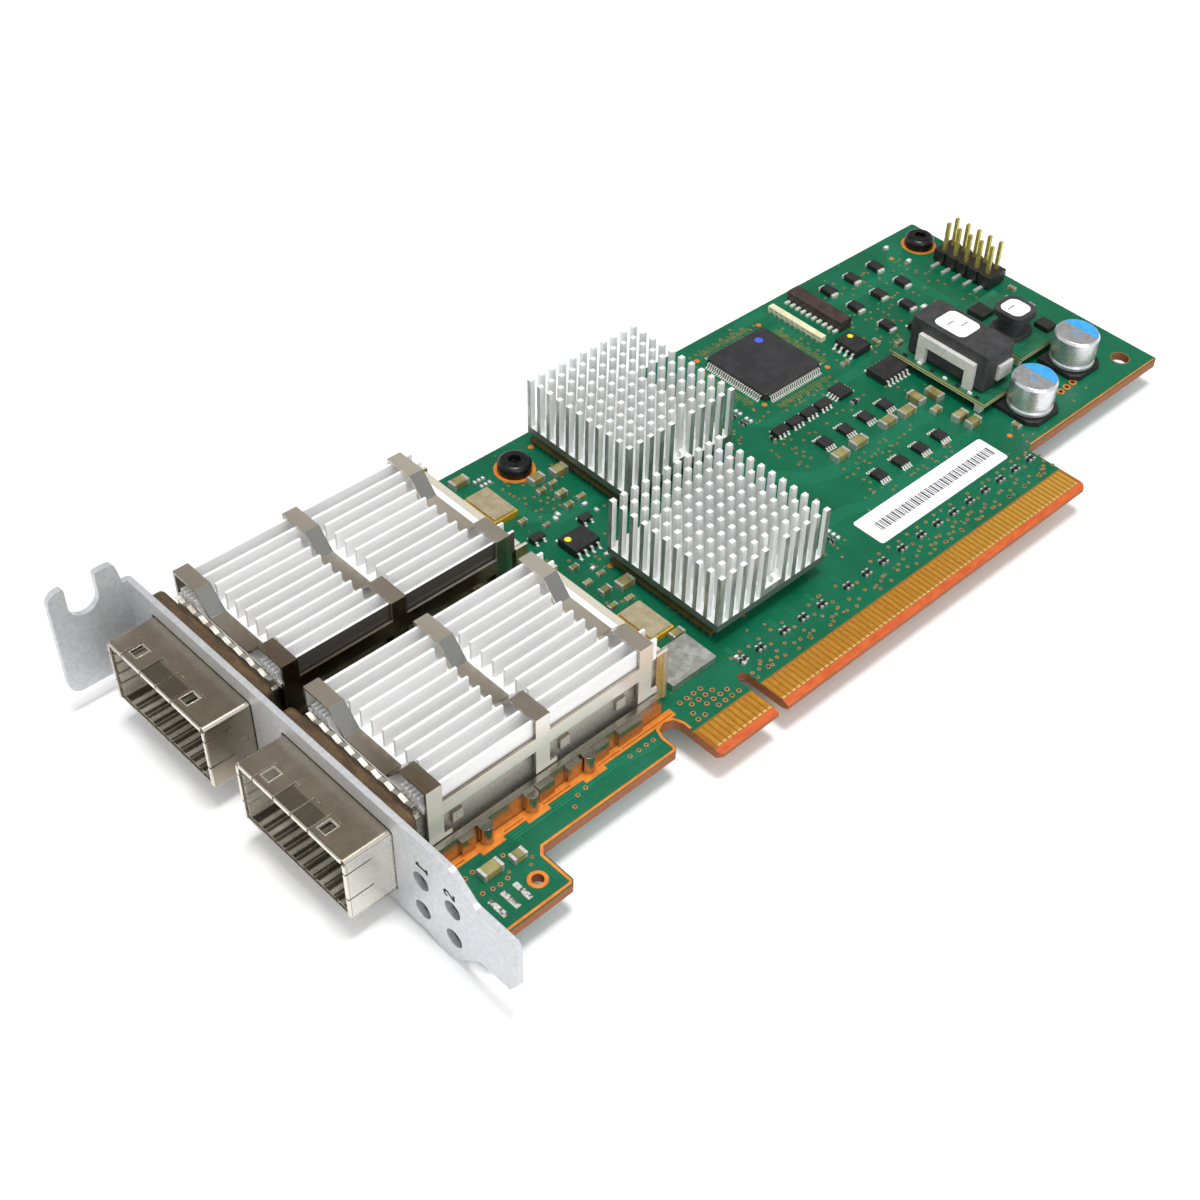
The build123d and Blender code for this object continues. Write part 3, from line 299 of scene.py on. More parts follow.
def sink_material():
    """White fins; the outer face of the first port's near fin, which faces the
    second port, is painted dark as shade and reflection, and made glossier."""
    g = Graph("white sink")
    nx, ny, nz = g.nz()
    tone = g.ramp(g.noise(0.2, 4.0, 0.6, (0.12, 1.0, 1.0)), 0.35, 0.65)
    colour = g.mix(tone, srgb(231, 231, 231), srgb(241, 241, 241))
    # painted shade and reflection: the first port's near outer fin face is darkened
    outer = g.both(g.math("LESS_THAN", ny, -0.9), g.between(g.y, 40.7, 40.95))
    colour = g.mix(outer, colour, srgb(90, 86, 82))
    gloss = g.ramp(g.noise(0.5, 3.0, 0.6, (0.12, 1.0, 1.0)), 0.3, 0.7, 0.36, 0.44)
    gloss = g.math("SUBTRACT", gloss, g.math("MULTIPLY", outer, 0.18))
    g.bump(g.noise(5.0, 3.0, 0.6, (0.12, 1.0, 1.0)), 0.003 * MM, 0.04)
    g.set(Base_Color=colour, Roughness=gloss, Metallic=g.math("ADD", 0.05, g.math("MULTIPLY", outer, 0.3)))
    return g.m


def pin_sink_material():
    """Near-white pins; the machined outer faces and the plate's sides are a
    duller grey, and the tops are bright."""
    g = Graph("pin sink")
    nx, ny, nz = g.nz()
    tone = g.ramp(g.noise(0.3, 4.0, 0.6, (1.0, 1.0, 0.2)), 0.35, 0.65)
    colour = g.mix(tone, srgb(226, 229, 228), srgb(240, 242, 241))
    left = g.both(g.math("GREATER_THAN", g.y, 39.0), g.math("LESS_THAN", g.y, 80.0))
    cx = g.math("ADD", 25.8, g.math("MULTIPLY", left, 10.1))
    cy = g.math("ADD", 26.3, g.math("MULTIPLY", left, 29.1))
    out_x = g.both(g.math("GREATER_THAN", g.math("ABSOLUTE", g.math("SUBTRACT", g.x, cx)), 11.42),
                   g.math("GREATER_THAN", g.math("ABSOLUTE", nx), 0.9))
    out_y = g.both(g.math("GREATER_THAN", g.math("ABSOLUTE", g.math("SUBTRACT", g.y, cy)), 11.34),
                   g.math("GREATER_THAN", g.math("ABSOLUTE", ny), 0.9))
    outer = g.math("ADD", out_x, out_y, clamp=True)
    scuff = g.ramp(g.noise(0.9, 4.0, 0.6, (1.0, 1.0, 0.25)), 0.35, 0.65)
    grey = g.mix(scuff, srgb(132, 139, 137), srgb(176, 182, 178))
    colour = g.mix(outer, colour, grey)
    low = g.math("MULTIPLY", outer, g.math("LESS_THAN", g.z, 3.64))
    colour = g.mix(low, colour, srgb(104, 116, 110))
    g.bump(g.noise(4.0, 3.0, 0.6, (1.0, 1.0, 0.2)), 0.003 * MM, 0.05)
    gloss = g.ramp(g.noise(0.7, 3.0, 0.6, (1.0, 1.0, 0.2)), 0.3, 0.7, 0.28, 0.36)
    g.set(Base_Color=colour, Roughness=gloss, Metallic=g.math("ADD", 0.12, g.math("MULTIPLY", outer, 0.4)))
    return g.m


def module_material():
    """Green mask above, cream laminate with a darker core at the edge."""
    g = Graph("module board")
    nx, ny, nz = g.nz()
    face = g.math("GREATER_THAN", g.math("ABSOLUTE", nz), 0.9)
    mask = g.mix(g.ramp(g.noise(0.4, 4.0, 0.6), 0.35, 0.65), srgb(14, 86, 60), srgb(24, 102, 72))
    runs = g.ramp(g.math("SINE", g.math("MULTIPLY", g.y, 9.0)), 0.2, 0.8)
    mask = g.mix(g.math("MULTIPLY", runs, g.ramp(g.noise(0.3, 2.0, 0.5), 0.48, 0.56, 0.0, 0.4)), mask, srgb(40, 126, 92))
    layer = g.ramp(g.math("SINE", g.math("MULTIPLY", g.z, 12.0)), -0.4, 0.4)
    edge = g.mix(layer, srgb(92, 128, 84), srgb(214, 206, 150))
    edge = g.mix(g.ramp(g.noise(2.2, 4.0, 0.7, (1, 1, 3)), 0.4, 0.7, 0.0, 0.4), edge, srgb(120, 112, 66))
    g.bump(g.noise(2.0, 4.0, 0.6), 0.01 * MM)
    g.set(Base_Color=g.mix(face, edge, mask), Roughness=g.ramp(g.noise(0.8), 0.3, 0.7, 0.3, 0.42))
    return g.m


def can_material():
    """Drawn aluminium can: fine rings round each can, brushed top."""
    g = Graph("drawn can")
    rings = g.math("SINE", g.math("MULTIPLY", g.z, 60.0))
    tone = g.ramp(g.noise(0.8, 3.0, 0.6, (1, 1, 6.0)), 0.3, 0.7)
    colour = g.mix(tone, srgb(206, 209, 213), srgb(226, 228, 232))
    g.bump(g.math("ADD", rings, g.noise(1.2)), 0.001 * MM, 0.15)
    g.set(Base_Color=colour, Roughness=g.ramp(g.noise(1.2), 0.3, 0.7, 0.24, 0.36))
    g.bsdf.inputs["Metallic"].default_value = 0.85
    return g.m


def finger_material():
    """Gold plated contact with a painted reflection that lightens the row toward its far end, and a paler stripe near
    the board edge.
    """
    g = Graph("contact gold")
    tone = g.ramp(g.noise(0.5, 4.0, 0.6, (2.0, 0.3, 1.0)), 0.3, 0.7)
    colour = g.mix(tone, srgb(202, 142, 46), srgb(214, 156, 60))
    # painted reflection: the contacts lighten toward the far end of the row
    colour = g.mix(g.ramp(g.x, 30.0, 88.0, 0.0, 0.75), colour, srgb(232, 184, 78))
    tip = g.between(g.y, 1.15, 1.5)
    colour = g.mix(tip, colour, srgb(240, 206, 128))
    g.bump(g.noise(7.0, 3.0, 0.6, (1.0, 0.2, 1.0)), 0.003 * MM)
    g.set(Base_Color=colour, Roughness=g.ramp(g.noise(1.4), 0.3, 0.7, 0.28, 0.42))
    g.bsdf.inputs["Metallic"].default_value = 0.65
    return g.m


def board_material():
    """Green solder mask over a faint copper pattern, bare laminate at the
    contact edge, and a layered brown edge."""
    g = Graph("circuit board")
    nx, ny, nz = g.nz()
    face = g.math("GREATER_THAN", g.math("ABSOLUTE", nz), 0.97)
    slope = g.both(g.math("GREATER_THAN", g.math("ABSOLUTE", nz), 0.15), g.math("SUBTRACT", 1.0, face))
    # mask colour with slow and fine variation
    tone = g.ramp(g.noise(0.09, 3.0, 0.5), 0.35, 0.65)
    mask = g.mix(tone, srgb(3, 88, 60), srgb(8, 97, 68))
    # fine copper runs seen through the mask, along Y or aslant by zone
    lanes = g.math("SINE", g.math("MULTIPLY", g.x, 11.0))
    aslant = g.math("SINE", g.math("MULTIPLY", g.math("ADD", g.x, g.y), 9.0))
    zone = g.ramp(g.noise(0.075, 1.0, 0.5, (1, 1, 0)), 0.47, 0.53)
    runs = g.math("ADD", g.math("MULTIPLY", g.ramp(lanes, 0.1, 0.8), zone),
                  g.math("MULTIPLY", g.ramp(aslant, 0.1, 0.8), g.math("SUBTRACT", 1.0, zone)))
    patch = g.ramp(g.noise(0.16, 2.0, 0.5, (1, 1, 0)), 0.48, 0.58)
    mask = g.mix(g.math("MULTIPLY", g.both(runs, patch), 0.3), mask, srgb(18, 116, 84))
    # scattered plated vias with tented centres
    dist, _ = g.voronoi(0.62, "F1", 0.85, (1, 1, 0))
    crowd = g.both(g.ramp(g.noise(0.10, 2.0, 0.6, (1, 1, 0)), 0.50, 0.56),
                   g.math("GREATER_THAN", g.y, 6.0), g.math("LESS_THAN", g.x, 112.0),
                   g.math("GREATER_THAN", g.x, 2.0))
    ring = g.both(g.math("LESS_THAN", dist, 0.155), crowd)
    hole = g.both(g.math("LESS_THAN", dist, 0.075), crowd)
    mask = g.mix(ring, mask, srgb(168, 112, 66))
    mask = g.mix(hole, mask, srgb(26, 60, 44))
    # bare laminate round the contacts
    tongue = g.both(g.math("LESS_THAN", g.y, 5.45), g.math("GREATER_THAN", g.x, -0.2), g.math("LESS_THAN", g.x, 85.4))
    bare = g.mix(g.ramp(g.noise(1.2, 3.0, 0.6), 0.35, 0.65), srgb(138, 88, 28), srgb(152, 98, 34))
    top = g.mix(tongue, mask, bare)
    # layered edge
    layers = g.math("SINE", g.math("MULTIPLY", g.z, 26.0))
    edge = g.mix(g.ramp(layers, -0.6, 0.6), srgb(126, 72, 40), srgb(166, 100, 60))
    edge = g.mix(g.ramp(g.noise(2.2, 4.0, 0.7, (1, 1, 3)), 0.4, 0.7, 0.0, 0.5), edge, srgb(92, 56, 34))
    slant = g.mix(g.ramp(g.noise(1.0, 3.0, 0.6, (0.4, 1, 1)), 0.35, 0.65), srgb(176, 74, 28), srgb(194, 90, 38))
    colour = g.mix(face, edge, top)
    colour = g.mix(slope, colour, slant)
    weave = g.math("MULTIPLY", g.math("SINE", g.math("MULTIPLY", g.x, 14.0)), g.math("SINE", g.math("MULTIPLY", g.y, 14.0)))
    height = g.math("ADD", g.math("MULTIPLY", weave, 0.25), g.noise(1.6, 4.0, 0.6))
    g.bump(g.math("ADD", height, g.math("MULTIPLY", ring, 0.8)), 0.012 * MM)
    rough = g.math("ADD", g.ramp(g.noise(0.8), 0.3, 0.7, 0.26, 0.36), g.math("MULTIPLY", g.math("SUBTRACT", 1.0, face), 0.35))
    g.set(Base_Color=colour, Roughness=rough)
    g.bsdf.inputs["Specular IOR Level"].default_value = 0.35
    return g.m


def label_material():
    g = Graph("paper label")
    fibre = g.noise(9.0, 4.0, 0.7, (0.4, 1.0, 1.0))
    colour = g.mix(g.ramp(fibre, 0.3, 0.7), srgb(226, 226, 228), srgb(240, 240, 242))
    g.bump(fibre, 0.006 * MM)
    g.set(Base_Color=colour, Roughness=g.ramp(g.noise(2.0), 0.3, 0.7, 0.5, 0.65))
    return g.m


def header_material():
    """Gold posts on tinned feet."""
    g = Graph("header pin")
    tone = g.ramp(g.noise(0.8, 4.0, 0.6), 0.35, 0.65)
    post = g.mix(tone, srgb(188, 166, 78), srgb(214, 196, 112))
    foot = g.mix(tone, srgb(206, 206, 198), srgb(232, 231, 225))
    colour = g.mix(g.math("LESS_THAN", g.z, 0.62), post, foot)
    g.bump(g.noise(6.0, 3.0, 0.6), 0.003 * MM, 0.05)
    g.set(Base_Color=colour, Roughness=g.ramp(g.noise(1.4), 0.3, 0.7, 0.22, 0.34))
    g.bsdf.inputs["Metallic"].default_value = 0.6
    return g.m


def finger_sheet():
    """Thin springs lining the nose; on the floor each flat spring's edges carry painted shade, as if it were bowed."""
    g = Graph("spring metal")
    nx, ny, nz = g.nz()
    second = g.math("LESS_THAN", g.y, 38.0)
    offset = g.math("SUBTRACT", g.y, g.math("SUBTRACT", 52.3, g.math("MULTIPLY", second, 28.55)))
    bow_painted_shade = g.math("ABSOLUTE", g.math("SINE", g.math("MULTIPLY", offset, math.pi / 2.1)))
    floor_face = g.both(g.math("LESS_THAN", g.z, 0.2), g.math("GREATER_THAN", nz, 0.9))
    tone = g.ramp(g.noise(0.3, 4.0, 0.6), 0.35, 0.65)
    colour = g.mix(tone, srgb(186, 180, 166), srgb(206, 200, 186))
    # painted shade and reflection: the floor springs darken toward their edges
    colour = g.mix(g.math("MULTIPLY", floor_face, g.ramp(bow_painted_shade, 0.35, 0.75)), colour, srgb(74, 69, 60))
    g.bump(g.noise(3.0, 3.0, 0.6), 0.002 * MM, 0.04)
    g.set(Base_Color=colour, Roughness=g.ramp(g.noise(0.7), 0.3, 0.7, 0.24, 0.34))
    g.bsdf.inputs["Metallic"].default_value = 0.35
    return g.m


M["header"] = header_material()
M["finger_sheet"] = finger_sheet()
M["gasket"] = gasket_material()
M["cage"] = sheet_material("cage nickel", (166, 156, 139), (198, 189, 173), (206, 203, 195), (206, 202, 192), 1.0, 0.6, (0.25, 0.29), 0.09)
M["clip"] = sheet_material("clip steel", (112, 100, 84), (214, 208, 194), (226, 223, 216), (150, 150, 147), 0.7, 0.45, (0.2, 0.26), 0.07,
                           (1.0, 0.25, 1.0))
M["sink"] = sink_material()
M["pin_sink"] = pin_sink_material()
M["module"] = module_material()
M["can"] = can_material()
M["finger"] = finger_material()
M["board"] = board_material()
M["label"] = label_material()

COATS = {
    "circuit_board": "board", "edge_contacts": "finger", "bracket": "bracket", "bracket_rivets": "nut",
    "indicator_lamps": "lamp", "controller_substrates": "substrate", "controller_lids": "lid",
    "controller_solder_balls": "ball", "thermal_pads": "pad", "pin_heat_sink_left": "pin_sink",
    "pin_heat_sink_right": "pin_sink", "quad_flat_chip_body": "qfp", "quad_flat_chip_leads": "solder",
    "memory_chip_bodies": "chip", "logic_chip_bodies": "chip", "resistor_network_bodies": "chip",
    "chip_leads": "solder", "power_diode_bodies": "chip", "power_diode_terminals": "solder",
    "ceramic_capacitor_bodies": "ceramic", "coupling_capacitor_bodies": "chip", "capacitor_end_caps": "cap_end",
    "oscillator_bases": "osc_base", "oscillator_lids": "osc_lid", "shield_can": "tin",
    "board_connector_body": "conn", "board_connector_pins": "solder", "ribbon_connector": "cream",
    "header_housing": "plastic", "header_pins": "header", "module_board": "module", "module_supports": "solder",
    "module_inductor": "ferrite", "module_inductor_winding": "winding", "module_drum_inductor": "ferrite",
    "module_chips": "chip", "capacitor_cans": "can", "capacitor_bases": "plastic", "board_screws": "screw",
    "screw_nuts": "nut", "paper_label": "label",
}
for k in (1, 2):
    COATS.update({
        f"port_{k}_cage_cover": "cage", f"port_{k}_cage_base": "pan", f"port_{k}_spring_fingers": "finger_sheet",
        f"port_{k}_gasket": "gasket", f"port_{k}_contact_strip": "strip", f"port_{k}_heat_sink": "sink",
        f"port_{k}_heat_sink_clip": "clip", f"port_{k}_receptacle": "plastic", f"port_{k}_contacts": "gold_pin",
    })
for name, obj in NODES.items():
    coat = M[COATS[name]]
    if not obj.material_slots:
        obj.data.materials.append(coat)
    for s in obj.material_slots:
        s.material = coat


# --------------------------------------------------------------- geometry
class Shape:
    """Collects faces in millimetres with a material for each."""

    def __init__(self, name, *mats):
        self.name, self.mats = name, mats
        self.bm = bmesh.new()

    def face(self, pts, mat=0):
        f = self.bm.faces.new([self.bm.verts.new(Vector(p) * MM) for p in pts])
        f.material_index = mat
        return f

    def box(self, x0, x1, y0, y1, z0, z1, mat=0, taper=0.0, turn=0.0, at=None):
        c = at or ((x0 + x1) / 2, (y0 + y1) / 2)
        ca, sa = math.cos(turn), math.sin(turn)

        def p(x, y, z):
            dx, dy = x - c[0], y - c[1]
            return Vector((c[0] + dx * ca - dy * sa, c[1] + dx * sa + dy * ca, z)) * MM

        lo = [(x0, y0), (x1, y0), (x1, y1), (x0, y1)]
        hi = [(x0 + taper, y0 + taper), (x1 - taper, y0 + taper), (x1 - taper, y1 - taper), (x0 + taper, y1 - taper)]
        a = [self.bm.verts.new(p(x, y, z0)) for x, y in lo]
        b = [self.bm.verts.new(p(x, y, z1)) for x, y in hi]
        fs = [self.bm.faces.new(a[::-1]), self.bm.faces.new(b)]
        for i in range(4):
            j = (i + 1) % 4
            fs.append(self.bm.faces.new([a[i], a[j], b[j], b[i]]))
        for f in fs:
            f.material_index = mat

    def ring(self, x, y, r0, r1, z0, z1, mat=0, n=20, hole=None):
        """A flat annulus raised a little, with an optional dark floor in it."""
        top, out, inn = [], [], []
        for i in range(n):
            a = 2 * math.pi * i / n
            ca, sa = math.cos(a), math.sin(a)
            out.append(self.bm.verts.new(Vector((x + r1 * ca, y + r1 * sa, z0)) * MM))
            top.append(self.bm.verts.new(Vector((x + (r1 - 0.02) * ca, y + (r1 - 0.02) * sa, z1)) * MM))
            inn.append(self.bm.verts.new(Vector((x + r0 * ca, y + r0 * sa, z1)) * MM))
        for i in range(n):
            j = (i + 1) % n
            self.bm.faces.new([out[i], out[j], top[j], top[i]]).material_index = mat
            self.bm.faces.new([top[i], top[j], inn[j], inn[i]]).material_index = mat
        if hole is not None:
            self.bm.faces.new(inn[::1]).material_index = hole

    def disc(self, x, y, r, z0, z1, mat=0, n=16):
        lo = [self.bm.verts.new(Vector((x + r * math.cos(2 * math.pi * i / n), y + r * math.sin(2 * math.pi * i / n), z0)) * MM)
              for i in range(n)]
        hi = [self.bm.verts.new(Vector((x + r * .97 * math.cos(2 * math.pi * i / n), y + r * .97 * math.sin(2 * math.pi * i / n), z1)) * MM)
              for i in range(n)]
        self.bm.faces.new(hi).material_index = mat
        for i in range(n):
            j = (i + 1) % n
            self.bm.faces.new([lo[i], lo[j], hi[j], hi[i]]).material_index = mat

    def track(self, pts, w, z0, z1, mat=0):
        """A flat ribbon along a path, mitred at its corners."""
        left, right_ = [], []
        for i, p in enumerate(pts):
            d = Vector((0, 0))
            if i > 0:
                d += (Vector(p) - Vector(pts[i - 1])).normalized()
            if i < len(pts) - 1:
                d += (Vector(pts[i + 1]) - Vector(p)).normalized()
            d.normalize()
            k = w / 2
            if 0 < i < len(pts) - 1:
                a = (Vector(p) - Vector(pts[i - 1])).normalized()
                k = w / 2 / max(0.5, a.dot(d))
            n = Vector((-d.y, d.x)) * k
            left.append(self.bm.verts.new(Vector((p[0] + n.x, p[1] + n.y, z1)) * MM))
            right_.append(self.bm.verts.new(Vector((p[0] - n.x, p[1] - n.y, z1)) * MM))
        for i in range(len(pts) - 1):
            self.bm.faces.new([right_[i], right_[i + 1], left[i + 1], left[i]]).material_index = mat

    def done(self, bevel=0.0, smooth=False):
        mesh = bpy.data.meshes.new(self.name)
        self.bm.normal_update()
        self.bm.to_mesh(mesh)
        self.bm.free()
        for m in self.mats:
            mesh.materials.append(m)
        o = bpy.data.objects.new(self.name, mesh)
        bpy.context.scene.collection.objects.link(o)
        if bevel:
            b = o.modifiers.new("edges", "BEVEL")
            b.width = bevel * MM
            b.segments = 2
            b.limit_method = "ANGLE"
        if smooth:
            for p in mesh.polygons:
                p.use_smooth = True
        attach(o, "root")
        return o


# vias and pads on the component face
via = Shape("vias", M["gold"], M["dark"])


def drill(x, y, r0, r1):
    """One plated via, kept clear of the contact band and the notches."""
    if -0.3 < x < 85.5 and y < 5.45 + r1:
        return
    if abs(x - 12.6) < 1.0 + r1 and y < 8.9 + r1:
        return
    if x < 0.3 and y > 3.9 and x > -4.2 and y < 9.7:
        return
    via.ring(x, y, r0, r1, 0.0, 0.02, 0, 12, 1)


for i in range(7):
    for j in range(6):
        if (i + j) % 5 == 4 or (i > 4 and j > 3):
            continue
        drill(2.2 + i * 1.35 + 0.3 * (j % 2), 3.9 + j * 1.3, 0.2, 0.42)
for x, y in ((-38.4, 7.3), (-37.1, 7.5), (-38.3, 4.1), (-36.9, 3.8), (-35.8, 3.7), (-34.5, 3.8), (-32.6, 6.9),
             (-40.2, 1.1), (-9.3, 8.0), (-7.7, 8.0), (-6.3, 8.0), (-5.0, 8.0), (-20.6, 6.6), (-19.0, 7.8), (-17.4, 8.0)):
    drill(x, y, 0.16, 0.36)
arrays = [14.9, 18.5, 23.6, 27.7, 31.8, 37.7, 42.0, 45.9, 50.4, 55.0, 59.1, 63.1, 67.2, 71.2, 75.2, 79.2, 83.3]
for x in arrays:
    for dx, dy in ((-0.55, -2.6), (0.55, -2.6), (-1.6, -1.7), (1.6, -1.9), (-0.9, -3.5), (1.9, -3.3), (-2.0, -3.4),
                   (-1.1, 1.6), (1.2, 1.7), (2.1, -0.4)):
        if random.random() < 0.8:
            drill(x + dx + random.uniform(-.25, .25), 10.1 + dy + random.uniform(-.2, .2), 0.12, 0.3)
for x, y, n, m, px, py in ((52.5, 33.5, 5, 9, 1.0, 1.0), (48.2, 44.5, 4, 8, 1.1, 1.0), (60, 45.4, 14, 2, 1.15, 1.1),
                           (58.0, 19.9, 16, 3, 1.2, 0.95), (57.2, 27.2, 15, 3, 1.3, 1.0), (57.5, 38.5, 14, 2, 1.5, 0.9),
                           (14.2, 52.4, 5, 10, 1.3, 1.2), (3.6, 29.4, 11, 4, 1.7, 1.3), (12.5, 38.2, 6, 3, 1.6, 1.1),
                           (86.4, 45.2, 9, 7, 1.35, 1.1), (92.3, 52.2, 12, 10, 1.5, 1.4), (111, 45, 3, 12, 1.2, 1.6),
                           (58.5, 47.0, 2, 15, 0.9, 1.25), (77.0, 49.0, 3, 12, 1.1, 1.4), (59.0, 65.4, 14, 2, 1.3, 1.0),
                           (38.5, 17.6, 8, 2, 1.2, 1.0), (-34.0, 3.2, 4, 2, 1.4, 1.0)):
    for i in range(n):
        for j in range(m):
            if random.random() < 0.42:
                drill(x + i * px + random.uniform(-.35, .35), y + j * py + random.uniform(-.35, .35), 0.12, 0.25)
via.done()

# traces under the mask: parallel runs with 45 degree bends
tr = Shape("traces", M["trace"], M["trace_dark"])


def bundle(pts, n, pitch, w, mat=0):
    for k in range(n):
        off = (k - (n - 1) / 2) * pitch
        run = []
        for i, p in enumerate(pts):
            d = Vector((0, 0))
            if i > 0:
                d += (Vector(p) - Vector(pts[i - 1])).normalized()
            if i < len(pts) - 1:
                d += (Vector(pts[i + 1]) - Vector(p)).normalized()
            d.normalize()
            a = (Vector(pts[i]) - Vector(pts[i - 1])).normalized() if i else d
            q = off / max(0.5, a.dot(d))
            run.append((p[0] - d.y * q, p[1] + d.x * q))
        tr.track(run, w, 0.0, 0.008, mat)


for i, x in enumerate(arrays[:6]):
    bundle([(x, 11.2), (x, 13.6)], 2, 0.5, 0.14)
bundle([(47.5, 58), (53, 58), (56, 61), (59.2, 61)], 8, 0.42, 0.16)
bundle([(47.5, 52), (55, 52), (57, 54), (59.2, 54)], 8, 0.42, 0.16)
bundle([(70, 64.6), (74, 67.2), (80, 67.2)], 5, 0.4, 0.16)
bundle([(77, 60), (80, 60)], 12, 0.5, 0.18)
bundle([(55, 47.4), (58, 44.6), (80, 44.6), (84, 46.4)], 5, 0.42, 0.16)
bundle([(47.6, 36), (52, 31), (57, 29.4), (80, 29.2)], 7, 0.42, 0.16)
bundle([(39.5, 22), (50, 22), (54, 20.6), (82, 20.6)], 6, 0.4, 0.15)
bundle([(108.5, 46), (108.5, 60), (112, 64), (116, 66)], 5, 0.5, 0.18)
bundle([(89.8, 61), (92, 61), (94, 60.4), (112, 60.4)], 6, 0.42, 0.16)
bundle([(13, 30), (5, 30), (3, 32), (3, 50)], 4, 0.4, 0.16)
bundle([(24, 50), (16, 50), (13, 53), (13, 61)], 5, 0.42, 0.16)
bundle([(-30, 8.4), (-12, 8.4), (-7, 7.4), (-4.5, 7.4)], 3, 0.45, 0.18)
tr.done()

# bare copper: rings at the fixing holes, fiducials, ground band by the port
cu = Shape("bare_copper", M["copper"], M["gold"], M["solder"], M["dark"], M["hatch"], M["worn_tin"])
for x, y in ((18.6, 63.3), (119.0, 63.4)):
    cu.ring(x, y, 2.7, 3.35, 0.0, 0.03, 0, 36)
cu.ring(-31.9, 1.1, 0.85, 1.4, 0.0, 0.03, 0, 28)
for x, y in ((102.4, 17.8), (104.3, 17.9), (106.2, 18.0)):
    cu.ring(x, y, 0.4, 0.72, 0.0, 0.03, 0, 20)
cu.ring(118.7, 16.65, 1.6, 1.75, 0.0, 0.02, 1, 28)
for x, y in ((76.6, 65.1), (60.8, 64.7), (76.7, 48.9), (60.7, 48.8), (111.3, 63.6), (85.8, 16.2), (14.5, 37.1), (24.2, 65.8)):
    cu.disc(x, y, 0.5, 0.0, 0.03, 0, 18)
cu.box(-41.2, 0.6, 9.2, 10.6, 0.0, 0.03, 0)
for x in (-32.5, -24.9, -14.9):
    cu.box(x - 1.9, x + 1.9, 8.5, 9.18, 0.0, 0.03, 0)
# painted shade: a thin dark line along the band at the foot of the cage flaps
for x0, x1 in ((-40.8, -36.6), (-30.0, -26.8), (-23.4, -18.6), (-13.6, -9.6), (-9.2, 0.2)):
    cu.box(x0, x1, 9.62, 9.72, 0.03, 0.04, 3)
# outline band of copper just inside the notch and the foot
edge_path = [(-42.8, -2.1), (-29.3, -2.1), (-29.0, -1.8), (-29.0, 3.6), (-28.0, 4.75), (-4.2, 4.75), (-3.85, 5.1),
             (-3.85, 7.4), (-3.3, 8.9), (-1.8, 9.5), (-0.3, 8.9), (0.3, 7.4), (0.3, 6.0)]
cu.track(edge_path, 0.4, 0.0, 0.02, 0)
cu.track([(86.6, 12.5), (123.2, 12.5)], 0.3, 0.0, 0.02, 0)
for x in (-38.4, -36.4, -34.4):
    cu.box(x - 0.45, x + 0.4, -0.5, 2.66, 0.0, 0.06, 5, 0.03)
# fine tinned runs that fan out beyond the flat chip's leads
for turn in range(4):
    a = math.radians(90 * turn)
    for i in range(22):
        u = (i - 10.5) * 0.56
        r0 = 8.6 + 0.12 * (i % 2)
        r1 = 9.7 + 0.35 * ((i * 7) % 3)
        for v0, v1 in ((r0, r1),):
            p0 = (68.3 + v0 * math.cos(a) - u * math.sin(a), 56.2 + v0 * math.sin(a) + u * math.cos(a))
            p1 = (68.3 + v1 * math.cos(a) - u * math.sin(a), 56.2 + v1 * math.sin(a) + u * math.cos(a))
            cu.track([p0, p1], 0.3, 0.0, 0.015, 4)
cu.done()

# small chip parts that stand on the board
small = Shape("small_parts", M["ceramic"], M["cap_end"], M["chip"], M["white_part"])


def chip_part(x, y, length, w, h, axis="x", body=0):
    e = max(0.2, length * 0.2)
    if axis == "x":
        small.box(x - length / 2 + e, x + length / 2 - e, y - w / 2, y + w / 2, 0.02, h, body, 0.03)
        small.box(x - length / 2, x - length / 2 + e, y - w / 2 - .02, y + w / 2 + .02, 0, h + .03, 1, 0.04)
        small.box(x + length / 2 - e, x + length / 2, y - w / 2 - .02, y + w / 2 + .02, 0, h + .03, 1, 0.04)
    else:
        small.box(x - w / 2, x + w / 2, y - length / 2 + e, y + length / 2 - e, 0.02, h, body, 0.03)
        small.box(x - w / 2 - .02, x + w / 2 + .02, y - length / 2, y - length / 2 + e, 0, h + .03, 1, 0.04)
        small.box(x - w / 2 - .02, x + w / 2 + .02, y + length / 2 - e, y + length / 2, 0, h + .03, 1, 0.04)


